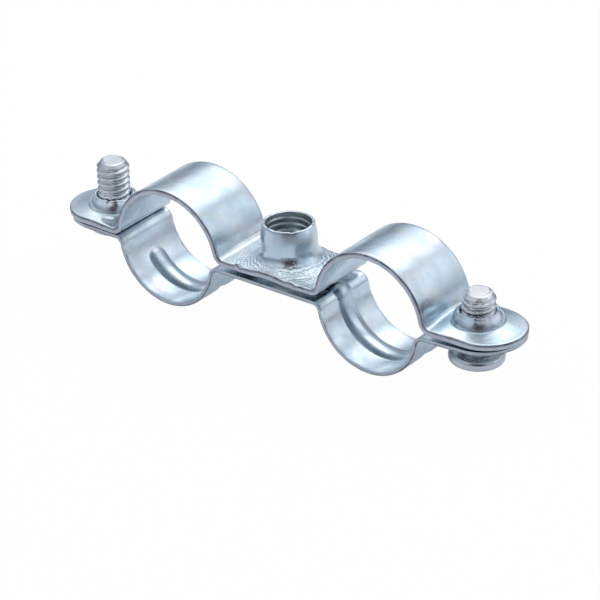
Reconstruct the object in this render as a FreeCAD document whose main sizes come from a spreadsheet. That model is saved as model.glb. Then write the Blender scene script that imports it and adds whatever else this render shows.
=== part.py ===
import FreeCAD, Part
import math
import os
import Sketcher

# Double pipe clamp: two formed steel strips held together by two machine screws.
# X runs along the strips, Y along the pipes, Z up through the threaded boss. Lengths in mm.
# The strips are worked out from the ear plane, where the upper ears rest on the lower ones.
# The origin lies on the boss axis, thread_centre above that plane.

SIZES = [
    ("pipe_diameter", 21.3, "outside of each pipe"),
    ("pipe_play", 0.1, "pipe to the upper half rings, on the radius"),
    ("pipe_gap", 23.7, "clear distance between the two pipes"),
    ("strip_width", 14.2, "width of both strips"),
    ("fold_radius", 1.2, "inside radius of every fold"),
    ("upper_sheet", 1.1, "thickness of the upper strip"),
    ("upper_ring_lift", 0.1, "centre of the upper half rings above the ear plane"),
    ("plate_lift", 0.5, "underside of the upper plate above the ear plane"),
    ("ear_flat", 14.65, "outer fold's centre to the ear's end"),
    ("screw_set", 5.3, "outer fold's centre to the screw axis"),
    ("thread_core", 6.8, "core diameter of the M8 thread"),
    ("boss_wall", 1.67, "boss wall outside the thread core"),
    ("boss_top", 9.2, "boss rim above the ear plane"),
    ("boss_flare", 3.5, "hollow radius from the plate into the boss"),
    ("rim_round", 0.55, "rounding of the boss rim"),
    ("entry_step", 0.3, "thinning of the drawn sheet at the start of the thread"),
    ("mouth_chamfer", 0.65, "lead-in at the boss mouth"),
    ("foot_wall", 1.65, "collar wall at the ear"),
    ("lip_wall", 0.65, "collar wall at its lip"),
    ("collar_height", 3.0, "lip above the ear"),
    ("collar_bulge", 9.0, "radius of the collar's flank"),
    ("collar_flare", 0.9, "drawn radius under the collar"),
    ("screw_diameter", 6.0, "over the threads"),
    ("screw_length", 11.5, "under the head"),
    ("screw_play", 0.1, "screw to the collar wall, on the radius"),
    ("tip_diameter", 4.6, "flat at the screw tip"),
    ("tip_cone", 0.8, "length of the tip cone"),
    ("head_diameter", 9.9, "screw head"),
    ("head_side", 1.9, "height of the head's side"),
    ("head_edge", 0.5, "rounding of the head's edges"),
    ("head_dome", 0.8, "rise of the head's dome"),
    ("recess_span", 4.8, "cross recess, end to end"),
    ("recess_arm", 1.1, "width of a recess arm"),
    ("recess_depth", 1.6, "depth of the recess from the dome's top"),
    ("lower_sheet", 0.75, "thickness of the lower strip"),
    ("ring_step", 0.65, "lower half rings tighter than the upper ones, on the radius"),
    ("lower_ring_sink", 0.15, "their centre past the face of the lower plate"),
    ("hole_play", 0.5, "screw to the lower ear's hole, on the radius"),
    ("bead_width", 4.0, "bead foot to foot"),
    ("bead_height", 0.85, "bead crest above the sheet"),
    ("bead_hollow", 1.1, "hollow radius along the bead's foot"),
    ("bead_reach", 40.0, "bead's end past the level of the pipe axis, degrees"),
    ("lower_shift", 0.5, "lower strip set over towards the left"),
    ("lower_hang", 0.54, "lower strip hangs open to the right, degrees"),
    ("screw_slack", 4.05, "how far the right screw is backed off"),
    ("screw_lean", 3.0, "lean of the slack right screw, degrees"),
    ("lean_height", 2.5, "middle of its play in the collar, above the ear plane"),
    ("thread_centre", 6.44, "origin above the ear plane"),
]

# Plain stock left beyond an edge that a later cut shears off.
MARGIN = 2.0

WORKED_OUT = [
    ("margin", "%g" % MARGIN),
    ("half_width", "sizes.strip_width / 2"),
    ("blank_side", "half_width + margin"),
    ("ring_place", "(sizes.pipe_diameter + sizes.pipe_gap) / 2"),
    ("upper_ring_radius", "sizes.pipe_diameter / 2 + sizes.pipe_play"),
    ("upper_bend", "sizes.fold_radius + sizes.upper_sheet"),
    ("fold_place", "ring_place + sqrt((upper_ring_radius + upper_bend) ^ 2"
     " - (upper_bend - sizes.upper_ring_lift) ^ 2)"),
    ("half_length", "fold_place + sizes.ear_flat"),
    ("blank_end", "half_length + margin"),
    ("ear_centre", "half_length - half_width"),
    ("screw_place", "fold_place + sizes.screw_set"),
    ("core_radius", "sizes.thread_core / 2"),
    ("boss_radius", "core_radius + sizes.boss_wall"),
    ("boss_foot", "boss_radius + sizes.boss_flare"),
    ("shear_side", "half_width + boss_foot"),
    ("plate_face", "sizes.plate_lift + sizes.upper_sheet"),
    ("plate_core", "sizes.plate_lift + sizes.upper_sheet / 2"),
    ("flare_centre", "plate_face + sizes.boss_flare"),
    ("entry_flare", "sizes.boss_flare + sizes.upper_sheet"),
    ("entry_radius", "boss_radius - sizes.upper_sheet + sizes.entry_step"),
    ("entry_cone", "entry_radius - core_radius"),
    ("mouth_radius", "core_radius + sizes.mouth_chamfer"),
    ("mouth_start", "sizes.boss_top - sizes.mouth_chamfer"),
    ("above_boss", "sizes.boss_top + margin"),
    ("collar_bore", "sizes.screw_diameter / 2 + sizes.screw_play"),
    ("collar_foot", "collar_bore + sizes.foot_wall"),
    ("collar_lip", "collar_bore + sizes.lip_wall"),
    ("collar_top", "sizes.upper_sheet + sizes.collar_height"),
    ("above_collar", "collar_top + margin"),
    ("ear_core", "sizes.upper_sheet / 2"),
    ("shank_radius", "sizes.screw_diameter / 2"),
    ("tip_radius", "sizes.tip_diameter / 2"),
    ("cone_start", "sizes.screw_length - sizes.tip_cone"),
    ("head_radius", "sizes.head_diameter / 2"),
    ("dome_radius", "head_radius - sizes.head_edge"),
    ("dome_top", "sizes.head_side + sizes.head_dome"),
    ("dome_curve", "(dome_radius ^ 2 + sizes.head_dome ^ 2) / (2 * sizes.head_dome)"),
    ("recess_reach", "sizes.recess_span / 2"),
    ("recess_half", "sizes.recess_arm / 2"),
    ("recess_cut", "sizes.recess_depth + margin"),
    ("recess_plane", "-dome_top - margin"),
    ("ear_hole", "sizes.screw_diameter / 2 + sizes.hole_play"),
    ("lower_core", "sizes.lower_sheet / 2"),
    ("lower_over", "sizes.lower_sheet + sizes.fold_radius / 3"),
    ("lower_ring_radius", "upper_ring_radius - sizes.ring_step"),
    ("lower_bend", "sizes.fold_radius + sizes.lower_sheet"),
    ("bead_half", "sizes.bead_width / 2"),
    ("bead_crest", "(bead_half ^ 2 + sizes.bead_height ^ 2) / (2 * sizes.bead_height) - sizes.bead_hollow"),
    ("bead_end_along", "ring_place + lower_ring_radius * cos(sizes.bead_reach * 1 deg)"),
    ("bead_end_up", "lower_ring_radius * sin(sizes.bead_reach * 1 deg) - sizes.lower_ring_sink"),
    ("contact", "half_length - sizes.lower_shift"),
    ("lower_along", "contact * cos(sizes.lower_hang * 1 deg) - half_length"),
    ("lower_up", "-contact * sin(sizes.lower_hang * 1 deg) - sizes.thread_centre"),
    ("seat_up", "lower_up + (screw_place + lower_along) * tan(sizes.lower_hang * 1 deg)"
     " - sizes.lower_sheet / cos(sizes.lower_hang * 1 deg)"),
    ("lean_arm", "sizes.lean_height + sizes.screw_slack"),
    ("slack_along", "screw_place - lean_arm * sin(sizes.screw_lean * 1 deg)"),
    ("slack_up", "sizes.lean_height - lean_arm * cos(sizes.screw_lean * 1 deg) - sizes.thread_centre"),
]

doc = FreeCAD.newDocument("double_pipe_clamp")


def fill_sheet(name, rows):
    """Writes named cells and returns each one's reference and number."""
    sheet = doc.addObject("Spreadsheet::Sheet", name)
    for row, (alias, content, meaning) in enumerate(rows, start=1):
        sheet.set("A%d" % row, alias)
        sheet.set("B%d" % row, content)
        sheet.set("C%d" % row, meaning)
        sheet.setAlias("B%d" % row, alias)
    doc.recompute()
    return {alias: ("%s.%s" % (name, alias), float(sheet.get(alias))) for alias, content, meaning in rows}


cells = fill_sheet("sizes", [(alias, str(number), meaning) for alias, number, meaning in SIZES])
cells.update(fill_sheet("worked_out", [(alias, "=" + formula, formula) for alias, formula in WORKED_OUT]))


def size(name):
    """A cell's number; a leading minus turns its sign."""
    return -cells[name[1:]][1] if name.startswith("-") else cells[name][1]


def bind(thing, target, name):
    """Ties a property or constraint to a cell; a leading minus turns its sign."""
    if name.startswith("-"):
        thing.setExpression(target, "-" + cells[name[1:]][0])
    else:
        thing.setExpression(target, cells[name][0])


def new_body(label):
    body = doc.addObject("PartDesign::Body", label)
    body.Label = label
    return body


def origin_plane(body, role):
    return [feature for feature in body.Origin.OriginFeatures if feature.Role == role][0]


def finish(body, feature):
    body.Tip = feature
    doc.recompute()
    return feature


# How sketch constraints name the origin, the axes and the points of an edge.
ORIGIN = (-1, 1)
X_AXIS, UP_AXIS = range(-1, -3, -1)
START, END, CENTRE = range(1, 4)


class Outline:
    """A sketch on one of the body's own planes, holding one closed or open chain of edges."""

    def __init__(self, body, role, name):
        self.sketch = body.newObject("Sketcher::SketchObject", name)
        self.sketch.AttachmentSupport = (origin_plane(body, role), [""])
        self.sketch.MapMode = "FlatFace"
        self.chain = []

    def rule(self, kind, *places):
        return self.sketch.addConstraint(Sketcher.Constraint(kind, *places))

    def line(self, start, end):
        edge = Part.LineSegment(FreeCAD.Vector(*start, 0), FreeCAD.Vector(*end, 0))
        self.chain.append((self.sketch.addGeometry(edge, False), START, END))
        return self.chain[-1][0]

    def level(self, start, end):
        number = self.line(start, end)
        self.rule("Horizontal", number)
        return number

    def upright(self, start, end):
        number = self.line(start, end)
        self.rule("Vertical", number)
        return number

    def arc(self, centre, start, end, clockwise=False):
        """Arc from start to end of the chain; a clockwise one is kept the other way round."""
        first, last = (end, start) if clockwise else (start, end)
        angles = [math.atan2(point[1] - centre[1], point[0] - centre[0]) for point in (first, last)]
        if angles[1] <= angles[0]:
            angles[1] += 2 * math.pi
        circle = Part.Circle(FreeCAD.Vector(*centre, 0), FreeCAD.Vector(0, 0, 1), math.dist(centre, start))
        number = self.sketch.addGeometry(Part.ArcOfCircle(circle, *angles), False)
        self.chain.append((number, END, START) if clockwise else (number, START, END))
        return number

    def join(self, smooth=(), closed=True):
        """Joins the edges in order; smooth lists the edges that run on into the next one."""
        followers = self.chain[1:] + (self.chain[:1] if closed else [])
        for before, after in zip(self.chain, followers):
            kind = "Tangent" if before[0] in smooth else "Coincident"
            self.rule(kind, before[0], before[2], after[0], after[1])

    def measure(self, kind, name, *places):
        """Gives a distance or radius the size in a cell."""
        plain = name.lstrip("-")
        if name.startswith("-"):
            places = places[2:] + places[:2]
        number = self.rule(kind, *places, size(plain))
        bind(self.sketch, "Constraints[%d]" % number, plain)

    def radius(self, edge, name):
        self.measure("Radius", name, edge)

    def place(self, edge, point, along=None, up=None):
        """Fixes a point's distance from the sketch's origin; 0 puts it on the axis."""
        if along == 0:
            self.rule("PointOnObject", edge, point, UP_AXIS)
        if up == 0:
            self.rule("PointOnObject", edge, point, X_AXIS)
        if along:
            self.measure("DistanceX", along, *ORIGIN, edge, point)
        if up:
            self.measure("DistanceY", up, *ORIGIN, edge, point)


def pad(body, outline, name, length):
    feature = body.newObject("PartDesign::Pad", name)
    feature.Profile = outline.sketch
    feature.Midplane = True
    bind(feature, "Length", length)
    return finish(body, feature)


def cut_through(body, outline, name):
    feature = body.newObject("PartDesign::Pocket", name)
    feature.Profile = outline.sketch
    feature.Type = "ThroughAll"
    feature.Midplane = True
    return finish(body, feature)


def turned(body, outline, name, cut=False, angle=360.0):
    """Turns an outline about the sketch's upright axis, to add to the body or to cut it."""
    feature = body.newObject("PartDesign::Groove" if cut else "PartDesign::Revolution", name)
    feature.Profile = outline.sketch
    feature.ReferenceAxis = (outline.sketch, ["V_Axis"])
    feature.Angle = angle
    feature.Midplane = angle < 360.0
    return finish(body, feature)


def swept(body, section, path, name, cut=False):
    feature = body.newObject("PartDesign::SubtractivePipe" if cut else "PartDesign::AdditivePipe", name)
    feature.Profile = section.sketch
    feature.Spine = path.sketch
    return finish(body, feature)


def mirrored(body, features, name):
    feature = body.newObject("PartDesign::Mirrored", name)
    feature.Originals = features
    feature.MirrorPlane = (origin_plane(body, "YZ_Plane"), [""])
    return finish(body, feature)


def towards(start, end, distance):
    reach = distance / math.dist(start, end)
    return (start[0] + (end[0] - start[0]) * reach, start[1] + (end[1] - start[1]) * reach)


def folded_half(body, thick, ring_radius, ring_up, plate_up):
    """Half of a strip, from the middle of its plate over one half ring to the ear."""
    fold = size("fold_radius")
    bend = fold + size(thick)
    inside = size(ring_radius)
    outside = inside + size(thick)
    height = size(plate_up) if plate_up else 0.0
    ring = (size("ring_place"), size(ring_up))
    inner = (ring[0] - math.sqrt((outside + fold) ** 2 - (height + bend - ring[1]) ** 2), height + bend)
    outer = (ring[0] + math.sqrt((outside + fold) ** 2 - (bend - ring[1]) ** 2), bend)
    end = size("blank_end")
    top = size(thick)
    drawing = Outline(body, "XZ_Plane", "FoldedProfile")
    plate_under = drawing.level((0, height), (inner[0], height))
    inner_bend = drawing.arc(inner, (inner[0], height), towards(inner, ring, bend))
    ring_under = drawing.arc(ring, towards(ring, inner, inside), towards(ring, outer, inside),
                             clockwise=True)
    outer_bend = drawing.arc(outer, towards(outer, ring, bend), (outer[0], 0))
    drawing.level((outer[0], 0), (end, 0))
    ear_end = drawing.upright((end, 0), (end, top))
    ear_over = drawing.level((end, top), (outer[0], top))
    outer_fold = drawing.arc(outer, (outer[0], top), towards(outer, ring, fold), clockwise=True)
    ring_over = drawing.arc(ring, towards(ring, outer, outside), towards(ring, inner, outside))
    inner_fold = drawing.arc(inner, towards(inner, ring, fold), (inner[0], height + top), clockwise=True)
    drawing.level((inner[0], height + top), (0, height + top))
    drawing.upright((0, height + top), (0, height))
    drawing.join(smooth=(plate_under, inner_bend, ring_under, outer_bend, ear_over, outer_fold, ring_over,
                         inner_fold))
    for under, over in ((inner_bend, inner_fold), (ring_under, ring_over), (outer_bend, outer_fold)):
        drawing.rule("Coincident", under, CENTRE, over, CENTRE)
    drawing.rule("Equal", inner_fold, outer_fold)
    drawing.radius(inner_fold, "fold_radius")
    drawing.radius(ring_under, ring_radius)
    drawing.measure("DistanceY", thick, ear_end, START, ear_end, END)
    drawing.place(ring_under, CENTRE, along="ring_place", up=ring_up)
    drawing.place(ear_end, START, along="blank_end", up=0)
    drawing.place(plate_under, START, along=0, up=plate_up or 0)
    return pad(body, drawing, "FoldedHalf", "strip_width")


def sheared_ear(body):
    """Shears the ear's end to a half circle as wide as the strip."""
    half = size("half_width")
    centre = size("ear_centre")
    far = size("blank_end")
    side = size("blank_side")
    drawing = Outline(body, "XY_Plane", "EarEnd")
    rounding = drawing.arc((centre, 0), (centre, half), (centre, -half), clockwise=True)
    drawing.upright((centre, -half), (centre, -side))
    near = drawing.level((centre, -side), (far, -side))
    drawing.upright((far, -side), (far, side))
    back = drawing.level((far, side), (centre, side))
    drawing.upright((centre, side), (centre, half))
    drawing.join()
    drawing.radius(rounding, "half_width")
    drawing.place(rounding, CENTRE, along="ear_centre", up=0)
    drawing.rule("Vertical", rounding, START, rounding, CENTRE)
    drawing.rule("Vertical", rounding, END, rounding, CENTRE)
    drawing.place(near, END, along="blank_end", up="-blank_side")
    drawing.place(back, START, up="blank_side")
    return cut_through(body, drawing, "EarEndShear")


def plunged_collar(body):
    """Collar drawn up out of the ear, wider at its foot, standing on a sharp crease."""
    foot = (size("collar_foot"), size("upper_sheet"))
    lip = (size("collar_lip"), size("collar_top"))
    core = size("ear_core")
    bulge = size("collar_bulge")
    chord = math.dist(foot, lip)
    back = math.sqrt(bulge ** 2 - (chord / 2) ** 2) / chord
    centre = ((foot[0] + lip[0]) / 2 - back * (lip[1] - foot[1]),
              (foot[1] + lip[1]) / 2 - back * (foot[0] - lip[0]))
    drawing = Outline(body, "XZ_Plane", "CollarOutline")
    bind(drawing.sketch, ".AttachmentOffset.Base.x", "screw_place")
    floor = drawing.level((0, core), (foot[0], core))
    side = drawing.upright((foot[0], core), foot)
    flank = drawing.arc(centre, foot, lip)
    roof = drawing.level(lip, (0, lip[1]))
    drawing.upright((0, lip[1]), (0, core))
    drawing.join()
    drawing.radius(flank, "collar_bulge")
    drawing.place(floor, START, along=0, up="ear_core")
    drawing.place(side, END, along="collar_foot", up="upper_sheet")
    drawing.place(roof, START, along="collar_lip", up="collar_top")
    return turned(body, drawing, "PlungedCollar")


def collar_bore(body):
    """Bore of the collar, with the draw radius under the ear."""
    bore = size("collar_bore")
    flare = size("collar_flare")
    top = size("above_collar")
    low = -size("margin")
    drawing = Outline(body, "XZ_Plane", "CollarBoreOutline")
    bind(drawing.sketch, ".AttachmentOffset.Base.x", "screw_place")
    floor = drawing.level((0, low), (bore + flare, low))
    drawing.upright((bore + flare, low), (bore + flare, 0))
    draw = drawing.arc((bore + flare, flare), (bore + flare, 0), (bore, flare), clockwise=True)
    wall = drawing.upright((bore, flare), (bore, top))
    drawing.level((bore, top), (0, top))
    drawing.upright((0, top), (0, low))
    drawing.join(smooth=(draw,))
    drawing.rule("Vertical", draw, END, draw, CENTRE)
    drawing.radius(draw, "collar_flare")
    drawing.place(floor, START, along=0, up="-margin")
    drawing.place(draw, END, up=0)
    drawing.place(wall, END, along="collar_bore", up="above_collar")
    return turned(body, drawing, "CollarBore", cut=True)


def drawn_boss(body):
    """Boss drawn up out of the plate, with a hollow draw radius round its foot."""
    radius = size("boss_radius")
    foot = size("boss_foot")
    face = size("plate_face")
    core = size("plate_core")
    bend = size("flare_centre")
    top = size("boss_top")
    edge = size("rim_round")
    drawing = Outline(body, "XZ_Plane", "BossOutline")
    floor = drawing.level((0, core), (foot, core))
    drawing.upright((foot, core), (foot, face))
    draw = drawing.arc((foot, bend), (foot, face), (radius, bend), clockwise=True)
    wall = drawing.upright((radius, bend), (radius, top - edge))
    rim = drawing.arc((radius - edge, top - edge), (radius, top - edge), (radius - edge, top))
    roof = drawing.level((radius - edge, top), (0, top))
    drawing.upright((0, top), (0, core))
    drawing.join(smooth=(draw, wall, rim))
    drawing.rule("Vertical", draw, END, draw, CENTRE)
    drawing.radius(draw, "boss_flare")
    drawing.radius(rim, "rim_round")
    drawing.place(floor, START, along=0, up="plate_core")
    drawing.place(draw, CENTRE, along="boss_foot", up="flare_centre")
    drawing.place(roof, END, up="boss_top")
    return turned(body, drawing, "DrawnBoss")


def sheared_edges(body):
    """Takes off what the boss's draw radius leaves beyond the strip's two long edges."""
    half = size("half_width")
    side = size("shear_side")
    reach = size("blank_end")
    for name, sign in (("FrontEdge", -1), ("BackEdge", 1)):
        mark = "-" if sign < 0 else ""
        drawing = Outline(body, "XY_Plane", name)
        edge = drawing.level((-reach, sign * half), (reach, sign * half))
        drawing.upright((reach, sign * half), (reach, sign * side))
        drawing.level((reach, sign * side), (-reach, sign * side))
        back = drawing.upright((-reach, sign * side), (-reach, sign * half))
        drawing.join()
        drawing.place(edge, END, along="blank_end", up=mark + "half_width")
        drawing.place(back, START, along="-blank_end", up=mark + "shear_side")
        cut_through(body, drawing, name + "Shear")


def boss_bore(body):
    """Core of the boss thread, between the drawn sheet's underside and the mouth's lead-in."""
    core = size("core_radius")
    entry = size("entry_radius")
    mouth = size("mouth_radius")
    foot = size("boss_foot")
    sheet = size("plate_lift")
    bend = size("flare_centre")
    draw_end = bend - math.sqrt(size("entry_flare") ** 2 - (foot - entry) ** 2)
    thread = draw_end + size("entry_cone")
    top = size("above_boss")
    low = -size("margin")
    drawing = Outline(body, "XZ_Plane", "BossBoreOutline")
    floor = drawing.level((0, low), (foot, low))
    drawing.upright((foot, low), (foot, sheet))
    draw = drawing.arc((foot, bend), (foot, sheet), (entry, draw_end), clockwise=True)
    cone = drawing.line((entry, draw_end), (core, thread))
    wall = drawing.upright((core, thread), (core, size("mouth_start")))
    lead = drawing.line((core, size("mouth_start")), (mouth, size("boss_top")))
    drawing.upright((mouth, size("boss_top")), (mouth, top))
    roof = drawing.level((mouth, top), (0, top))
    drawing.upright((0, top), (0, low))
    drawing.join()
    drawing.radius(draw, "entry_flare")
    drawing.rule("Vertical", draw, END, draw, CENTRE)
    drawing.place(floor, START, along=0, up="-margin")
    drawing.place(draw, CENTRE, along="boss_foot", up="flare_centre")
    drawing.measure("DistanceX", "entry_radius", *ORIGIN, cone, START)
    drawing.measure("DistanceY", "entry_cone", cone, START, cone, END)
    drawing.place(wall, END, along="core_radius", up="mouth_start")
    drawing.place(lead, END, along="mouth_radius", up="boss_top")
    drawing.place(roof, END, up="above_boss")
    return turned(body, drawing, "BossBore", cut=True)


def upper_strip():
    """The two halves are mirror images, and the boss is drawn from the middle of the plate."""
    body = new_body("upper_strip")
    half = [folded_half(body, "upper_sheet", "upper_ring_radius", "upper_ring_lift", "plate_lift"),
            sheared_ear(body), plunged_collar(body), collar_bore(body)]
    mirrored(body, half, "BothHalves")
    drawn_boss(body)
    sheared_edges(body)
    boss_bore(body)
    return body


def bead_section(body, name, face, buried):
    """Section across the bead, from a cell for the sheet face it rises from, or None for zero."""
    level = size(face) if face else 0.0
    half = size("bead_half")
    hollow = size("bead_hollow")
    crown = (0, level - size("bead_height") + size("bead_crest"))
    base = size(buried)
    drawing = Outline(body, "YZ_Plane", name)
    cover = drawing.level((half, base), (-half, base))
    drawing.upright((-half, base), (-half, level))
    left_centre = (-half, level - hollow)
    right_centre = (half, level - hollow)
    left_joint = towards(left_centre, crown, hollow)
    right_joint = towards(right_centre, crown, hollow)
    left = drawing.arc(left_centre, (-half, level), left_joint, clockwise=True)
    top = drawing.arc(crown, left_joint, right_joint)
    right = drawing.arc(right_centre, right_joint, (half, level), clockwise=True)
    drawing.upright((half, level), (half, base))
    drawing.join(smooth=(left, top))
    drawing.radius(left, "bead_hollow")
    drawing.radius(top, "bead_crest")
    drawing.rule("Equal", left, right)
    drawing.rule("Vertical", left, END, left, CENTRE)
    drawing.rule("Vertical", right, START, right, CENTRE)
    drawing.rule("PointOnObject", top, CENTRE, UP_AXIS)
    drawing.place(cover, START, along="bead_half", up=buried)
    drawing.place(cover, END, along="-bead_half")
    drawing.place(left, END, up=face or 0)
    return drawing


def bead_path(body):
    """Line that the bead follows: along the plate, round the fold and on round the ring."""
    bend = size("lower_bend")
    inside = size("lower_ring_radius")
    ring = (size("ring_place"), -size("lower_ring_sink"))
    inner = (ring[0] - math.sqrt((inside + bend) ** 2 - (bend - ring[1]) ** 2), bend)
    drawing = Outline(body, "XZ_Plane", "BeadPath")
    plate = drawing.level((0, 0), (inner[0], 0))
    fold = drawing.arc(inner, (inner[0], 0), towards(inner, ring, bend))
    around = drawing.arc(ring, towards(ring, inner, inside), (size("bead_end_along"), size("bead_end_up")),
                         clockwise=True)
    drawing.join(smooth=(plate, fold), closed=False)
    drawing.rule("Coincident", plate, START, *ORIGIN)
    drawing.radius(fold, "lower_bend")
    drawing.radius(around, "lower_ring_radius")
    drawing.place(around, CENTRE, along="ring_place", up="-lower_ring_sink")
    drawing.place(around, START, along="bead_end_along")
    return drawing


def bead_end(body, name, cut, face, buried):
    """Rounded end of the bead: half its section turned about the line to the pipe axis."""
    level = -size(face) if face else 0.0
    half = size("bead_half")
    hollow = size("bead_hollow")
    crown = (0, level + size("bead_height") - size("bead_crest"))
    low = -size(buried)
    drawing = Outline(body, "XZ_Plane", name + "Outline")
    drawing.sketch.AttachmentOffset = FreeCAD.Placement(
        FreeCAD.Vector(), FreeCAD.Rotation(FreeCAD.Vector(0, 0, 1), 90 + size("bead_reach")))
    bind(drawing.sketch, ".AttachmentOffset.Base.x", "bead_end_along")
    bind(drawing.sketch, ".AttachmentOffset.Base.y", "bead_end_up")
    drawing.sketch.setExpression(".AttachmentOffset.Rotation.Angle", "sizes.bead_reach * 1 deg + 90 deg")
    joint = towards((-half, level + hollow), crown, hollow)
    floor = drawing.level((0, low), (-half, low))
    side = drawing.upright((-half, low), (-half, level))
    foot = drawing.arc((-half, level + hollow), (-half, level), joint)
    top = drawing.arc(crown, joint, (0, level + size("bead_height")), clockwise=True)
    drawing.upright((0, level + size("bead_height")), (0, low))
    drawing.join(smooth=(foot,))
    drawing.radius(foot, "bead_hollow")
    drawing.radius(top, "bead_crest")
    drawing.rule("Vertical", foot, START, foot, CENTRE)
    drawing.rule("PointOnObject", top, CENTRE, UP_AXIS)
    drawing.rule("PointOnObject", floor, START, UP_AXIS)
    drawing.place(side, START, along="-bead_half", up="-" + buried)
    drawing.place(side, END, up="-" + face if face else 0)
    return turned(body, drawing, name, cut=cut, angle=180.0)


def ear_hole(body):
    """Clearance hole for the screw."""
    drawing = Outline(body, "XY_Plane", "EarHoleOutline")
    centre = FreeCAD.Vector(size("screw_place"), 0, 0)
    hole = drawing.sketch.addGeometry(Part.Circle(centre, FreeCAD.Vector(0, 0, 1), size("ear_hole")), False)
    drawing.radius(hole, "ear_hole")
    drawing.place(hole, CENTRE, along="screw_place", up=0)
    return cut_through(body, drawing, "EarHole")


def lower_strip():
    """Drawn with its rings upward, like the upper strip; its placement turns it over."""
    body = new_body("lower_strip")
    half = [folded_half(body, "lower_sheet", "lower_ring_radius", "-lower_ring_sink", None),
            sheared_ear(body), ear_hole(body)]
    path = bead_path(body)
    half.append(swept(body, bead_section(body, "RidgeSection", None, "lower_core"), path, "BeadRidge"))
    half.append(bead_end(body, "RidgeEnd", False, None, "lower_core"))
    groove = bead_section(body, "GrooveSection", "lower_sheet", "lower_over")
    half.append(swept(body, groove, path, "BeadGroove", cut=True))
    half.append(bead_end(body, "GrooveEnd", True, "lower_sheet", "lower_over"))
    mirrored(body, half, "BothHalves")
    return body


def turned_screw(body):
    """Screw about its own axis, with the head's bearing face at height zero."""
    shank = size("shank_radius")
    tip = size("tip_radius")
    length = size("screw_length")
    head = size("head_radius")
    edge = size("head_edge")
    side = size("head_side")
    shoulder = head - edge
    top = size("dome_top")
    drawing = Outline(body, "XZ_Plane", "ScrewOutline")
    flat = drawing.level((0, length), (tip, length))
    cone = drawing.line((tip, length), (shank, size("cone_start")))
    thread = drawing.upright((shank, size("cone_start")), (shank, 0))
    bearing = drawing.level((shank, 0), (shoulder, 0))
    upper = drawing.arc((shoulder, -edge), (shoulder, 0), (head, -edge), clockwise=True)
    rim = drawing.upright((head, -edge), (head, edge - side))
    lower = drawing.arc((shoulder, edge - side), (head, edge - side), (shoulder, -side), clockwise=True)
    dome = drawing.arc((0, size("dome_curve") - top), (shoulder, -side), (0, -top), clockwise=True)
    axis = drawing.upright((0, -top), (0, length))
    drawing.join(smooth=(bearing, upper, rim))
    drawing.rule("Equal", upper, lower)
    drawing.radius(upper, "head_edge")
    drawing.rule("PointOnObject", dome, CENTRE, UP_AXIS)
    drawing.place(flat, START, along=0, up="screw_length")
    drawing.place(cone, START, along="tip_radius")
    drawing.place(thread, START, along="shank_radius", up="cone_start")
    drawing.place(bearing, START, up=0)
    drawing.place(rim, END, along="head_radius")
    drawing.place(dome, END, along="dome_radius", up="-head_side")
    drawing.place(axis, START, up="-dome_top")
    return turned(body, drawing, "TurnedScrew")


def cross_recess(body):
    """Cross recess sunk into the head's dome."""
    arm = "recess_reach"
    half = "recess_half"
    back = "-" + arm
    low = "-" + half
    corners = [(half, arm), (low, arm), (low, half), (back, half), (back, low), (low, low),
               (low, back), (half, back), (half, low), (arm, low), (arm, half), (half, half)]
    points = [(size(along), size(up)) for along, up in corners]
    drawing = Outline(body, "XY_Plane", "CrossOutline")
    bind(drawing.sketch, ".AttachmentOffset.Base.z", "recess_plane")
    for start, end in zip(points, points[1:] + points[:1]):
        drawing.line(start, end)
    drawing.join()
    for (edge, first, last), (along, up) in zip(drawing.chain, corners):
        drawing.place(edge, first, along=along, up=up)
    feature = body.newObject("PartDesign::Pocket", "CrossRecess")
    feature.Profile = drawing.sketch
    feature.Reversed = True
    bind(feature, "Length", "recess_cut")
    return finish(body, feature)


def screw(label):
    """One of the two equal screws, put in from below."""
    body = new_body(label)
    turned_screw(body)
    cross_recess(body)
    return body


def settle(body, turn, along, up):
    """Turns a finished piece and sets its place in the shared frame."""
    body.Placement = FreeCAD.Placement(FreeCAD.Vector(), turn)
    if along:
        bind(body, ".Placement.Base.x", along)
    bind(body, ".Placement.Base.z", up)


def checked(body):
    """Stops on anything broken, so no bad piece is written."""
    for feature in doc.Objects:
        if "Invalid" in feature.State or "Error" in feature.State:
            raise RuntimeError("%s: %s" % (feature.Name, feature.State))
    if body.Shape.isNull() or not body.Shape.isValid() or len(body.Shape.Solids) != 1:
        raise RuntimeError("%s is not one sound solid" % body.Label)
    return body.Shape


upper = upper_strip()
lower = lower_strip()
left = screw("left_screw")
right = screw("right_screw")

AROUND_X = FreeCAD.Vector(1, 0, 0)
AROUND_Y = FreeCAD.Vector(0, 1, 0)
hang = FreeCAD.Rotation(AROUND_Y, size("lower_hang"))
lean = FreeCAD.Rotation(AROUND_Y, size("screw_lean"))
settle(upper, FreeCAD.Rotation(), None, "-thread_centre")
settle(lower, hang.multiply(FreeCAD.Rotation(AROUND_X, 180)), "lower_along", "lower_up")
settle(left, hang, "-screw_place", "seat_up")
settle(right, lean, "slack_along", "slack_up")
doc.recompute()

os.makedirs("parts", exist_ok=True)
for piece in (upper, lower, left, right):
    checked(piece).exportStep("parts/%s.step" % piece.Label)
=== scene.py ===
"""Double pipe clamp in bright zinc-plated steel: two folded strips held together by two machine screws.

The upper strip carries a drawn and threaded boss in its middle and a plunged collar in each ear; the
lower strip is thinner and has a stiffening bead pressed along it.
"""
import math

import bmesh
import bpy
from mathutils import Matrix, Vector, noise


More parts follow.
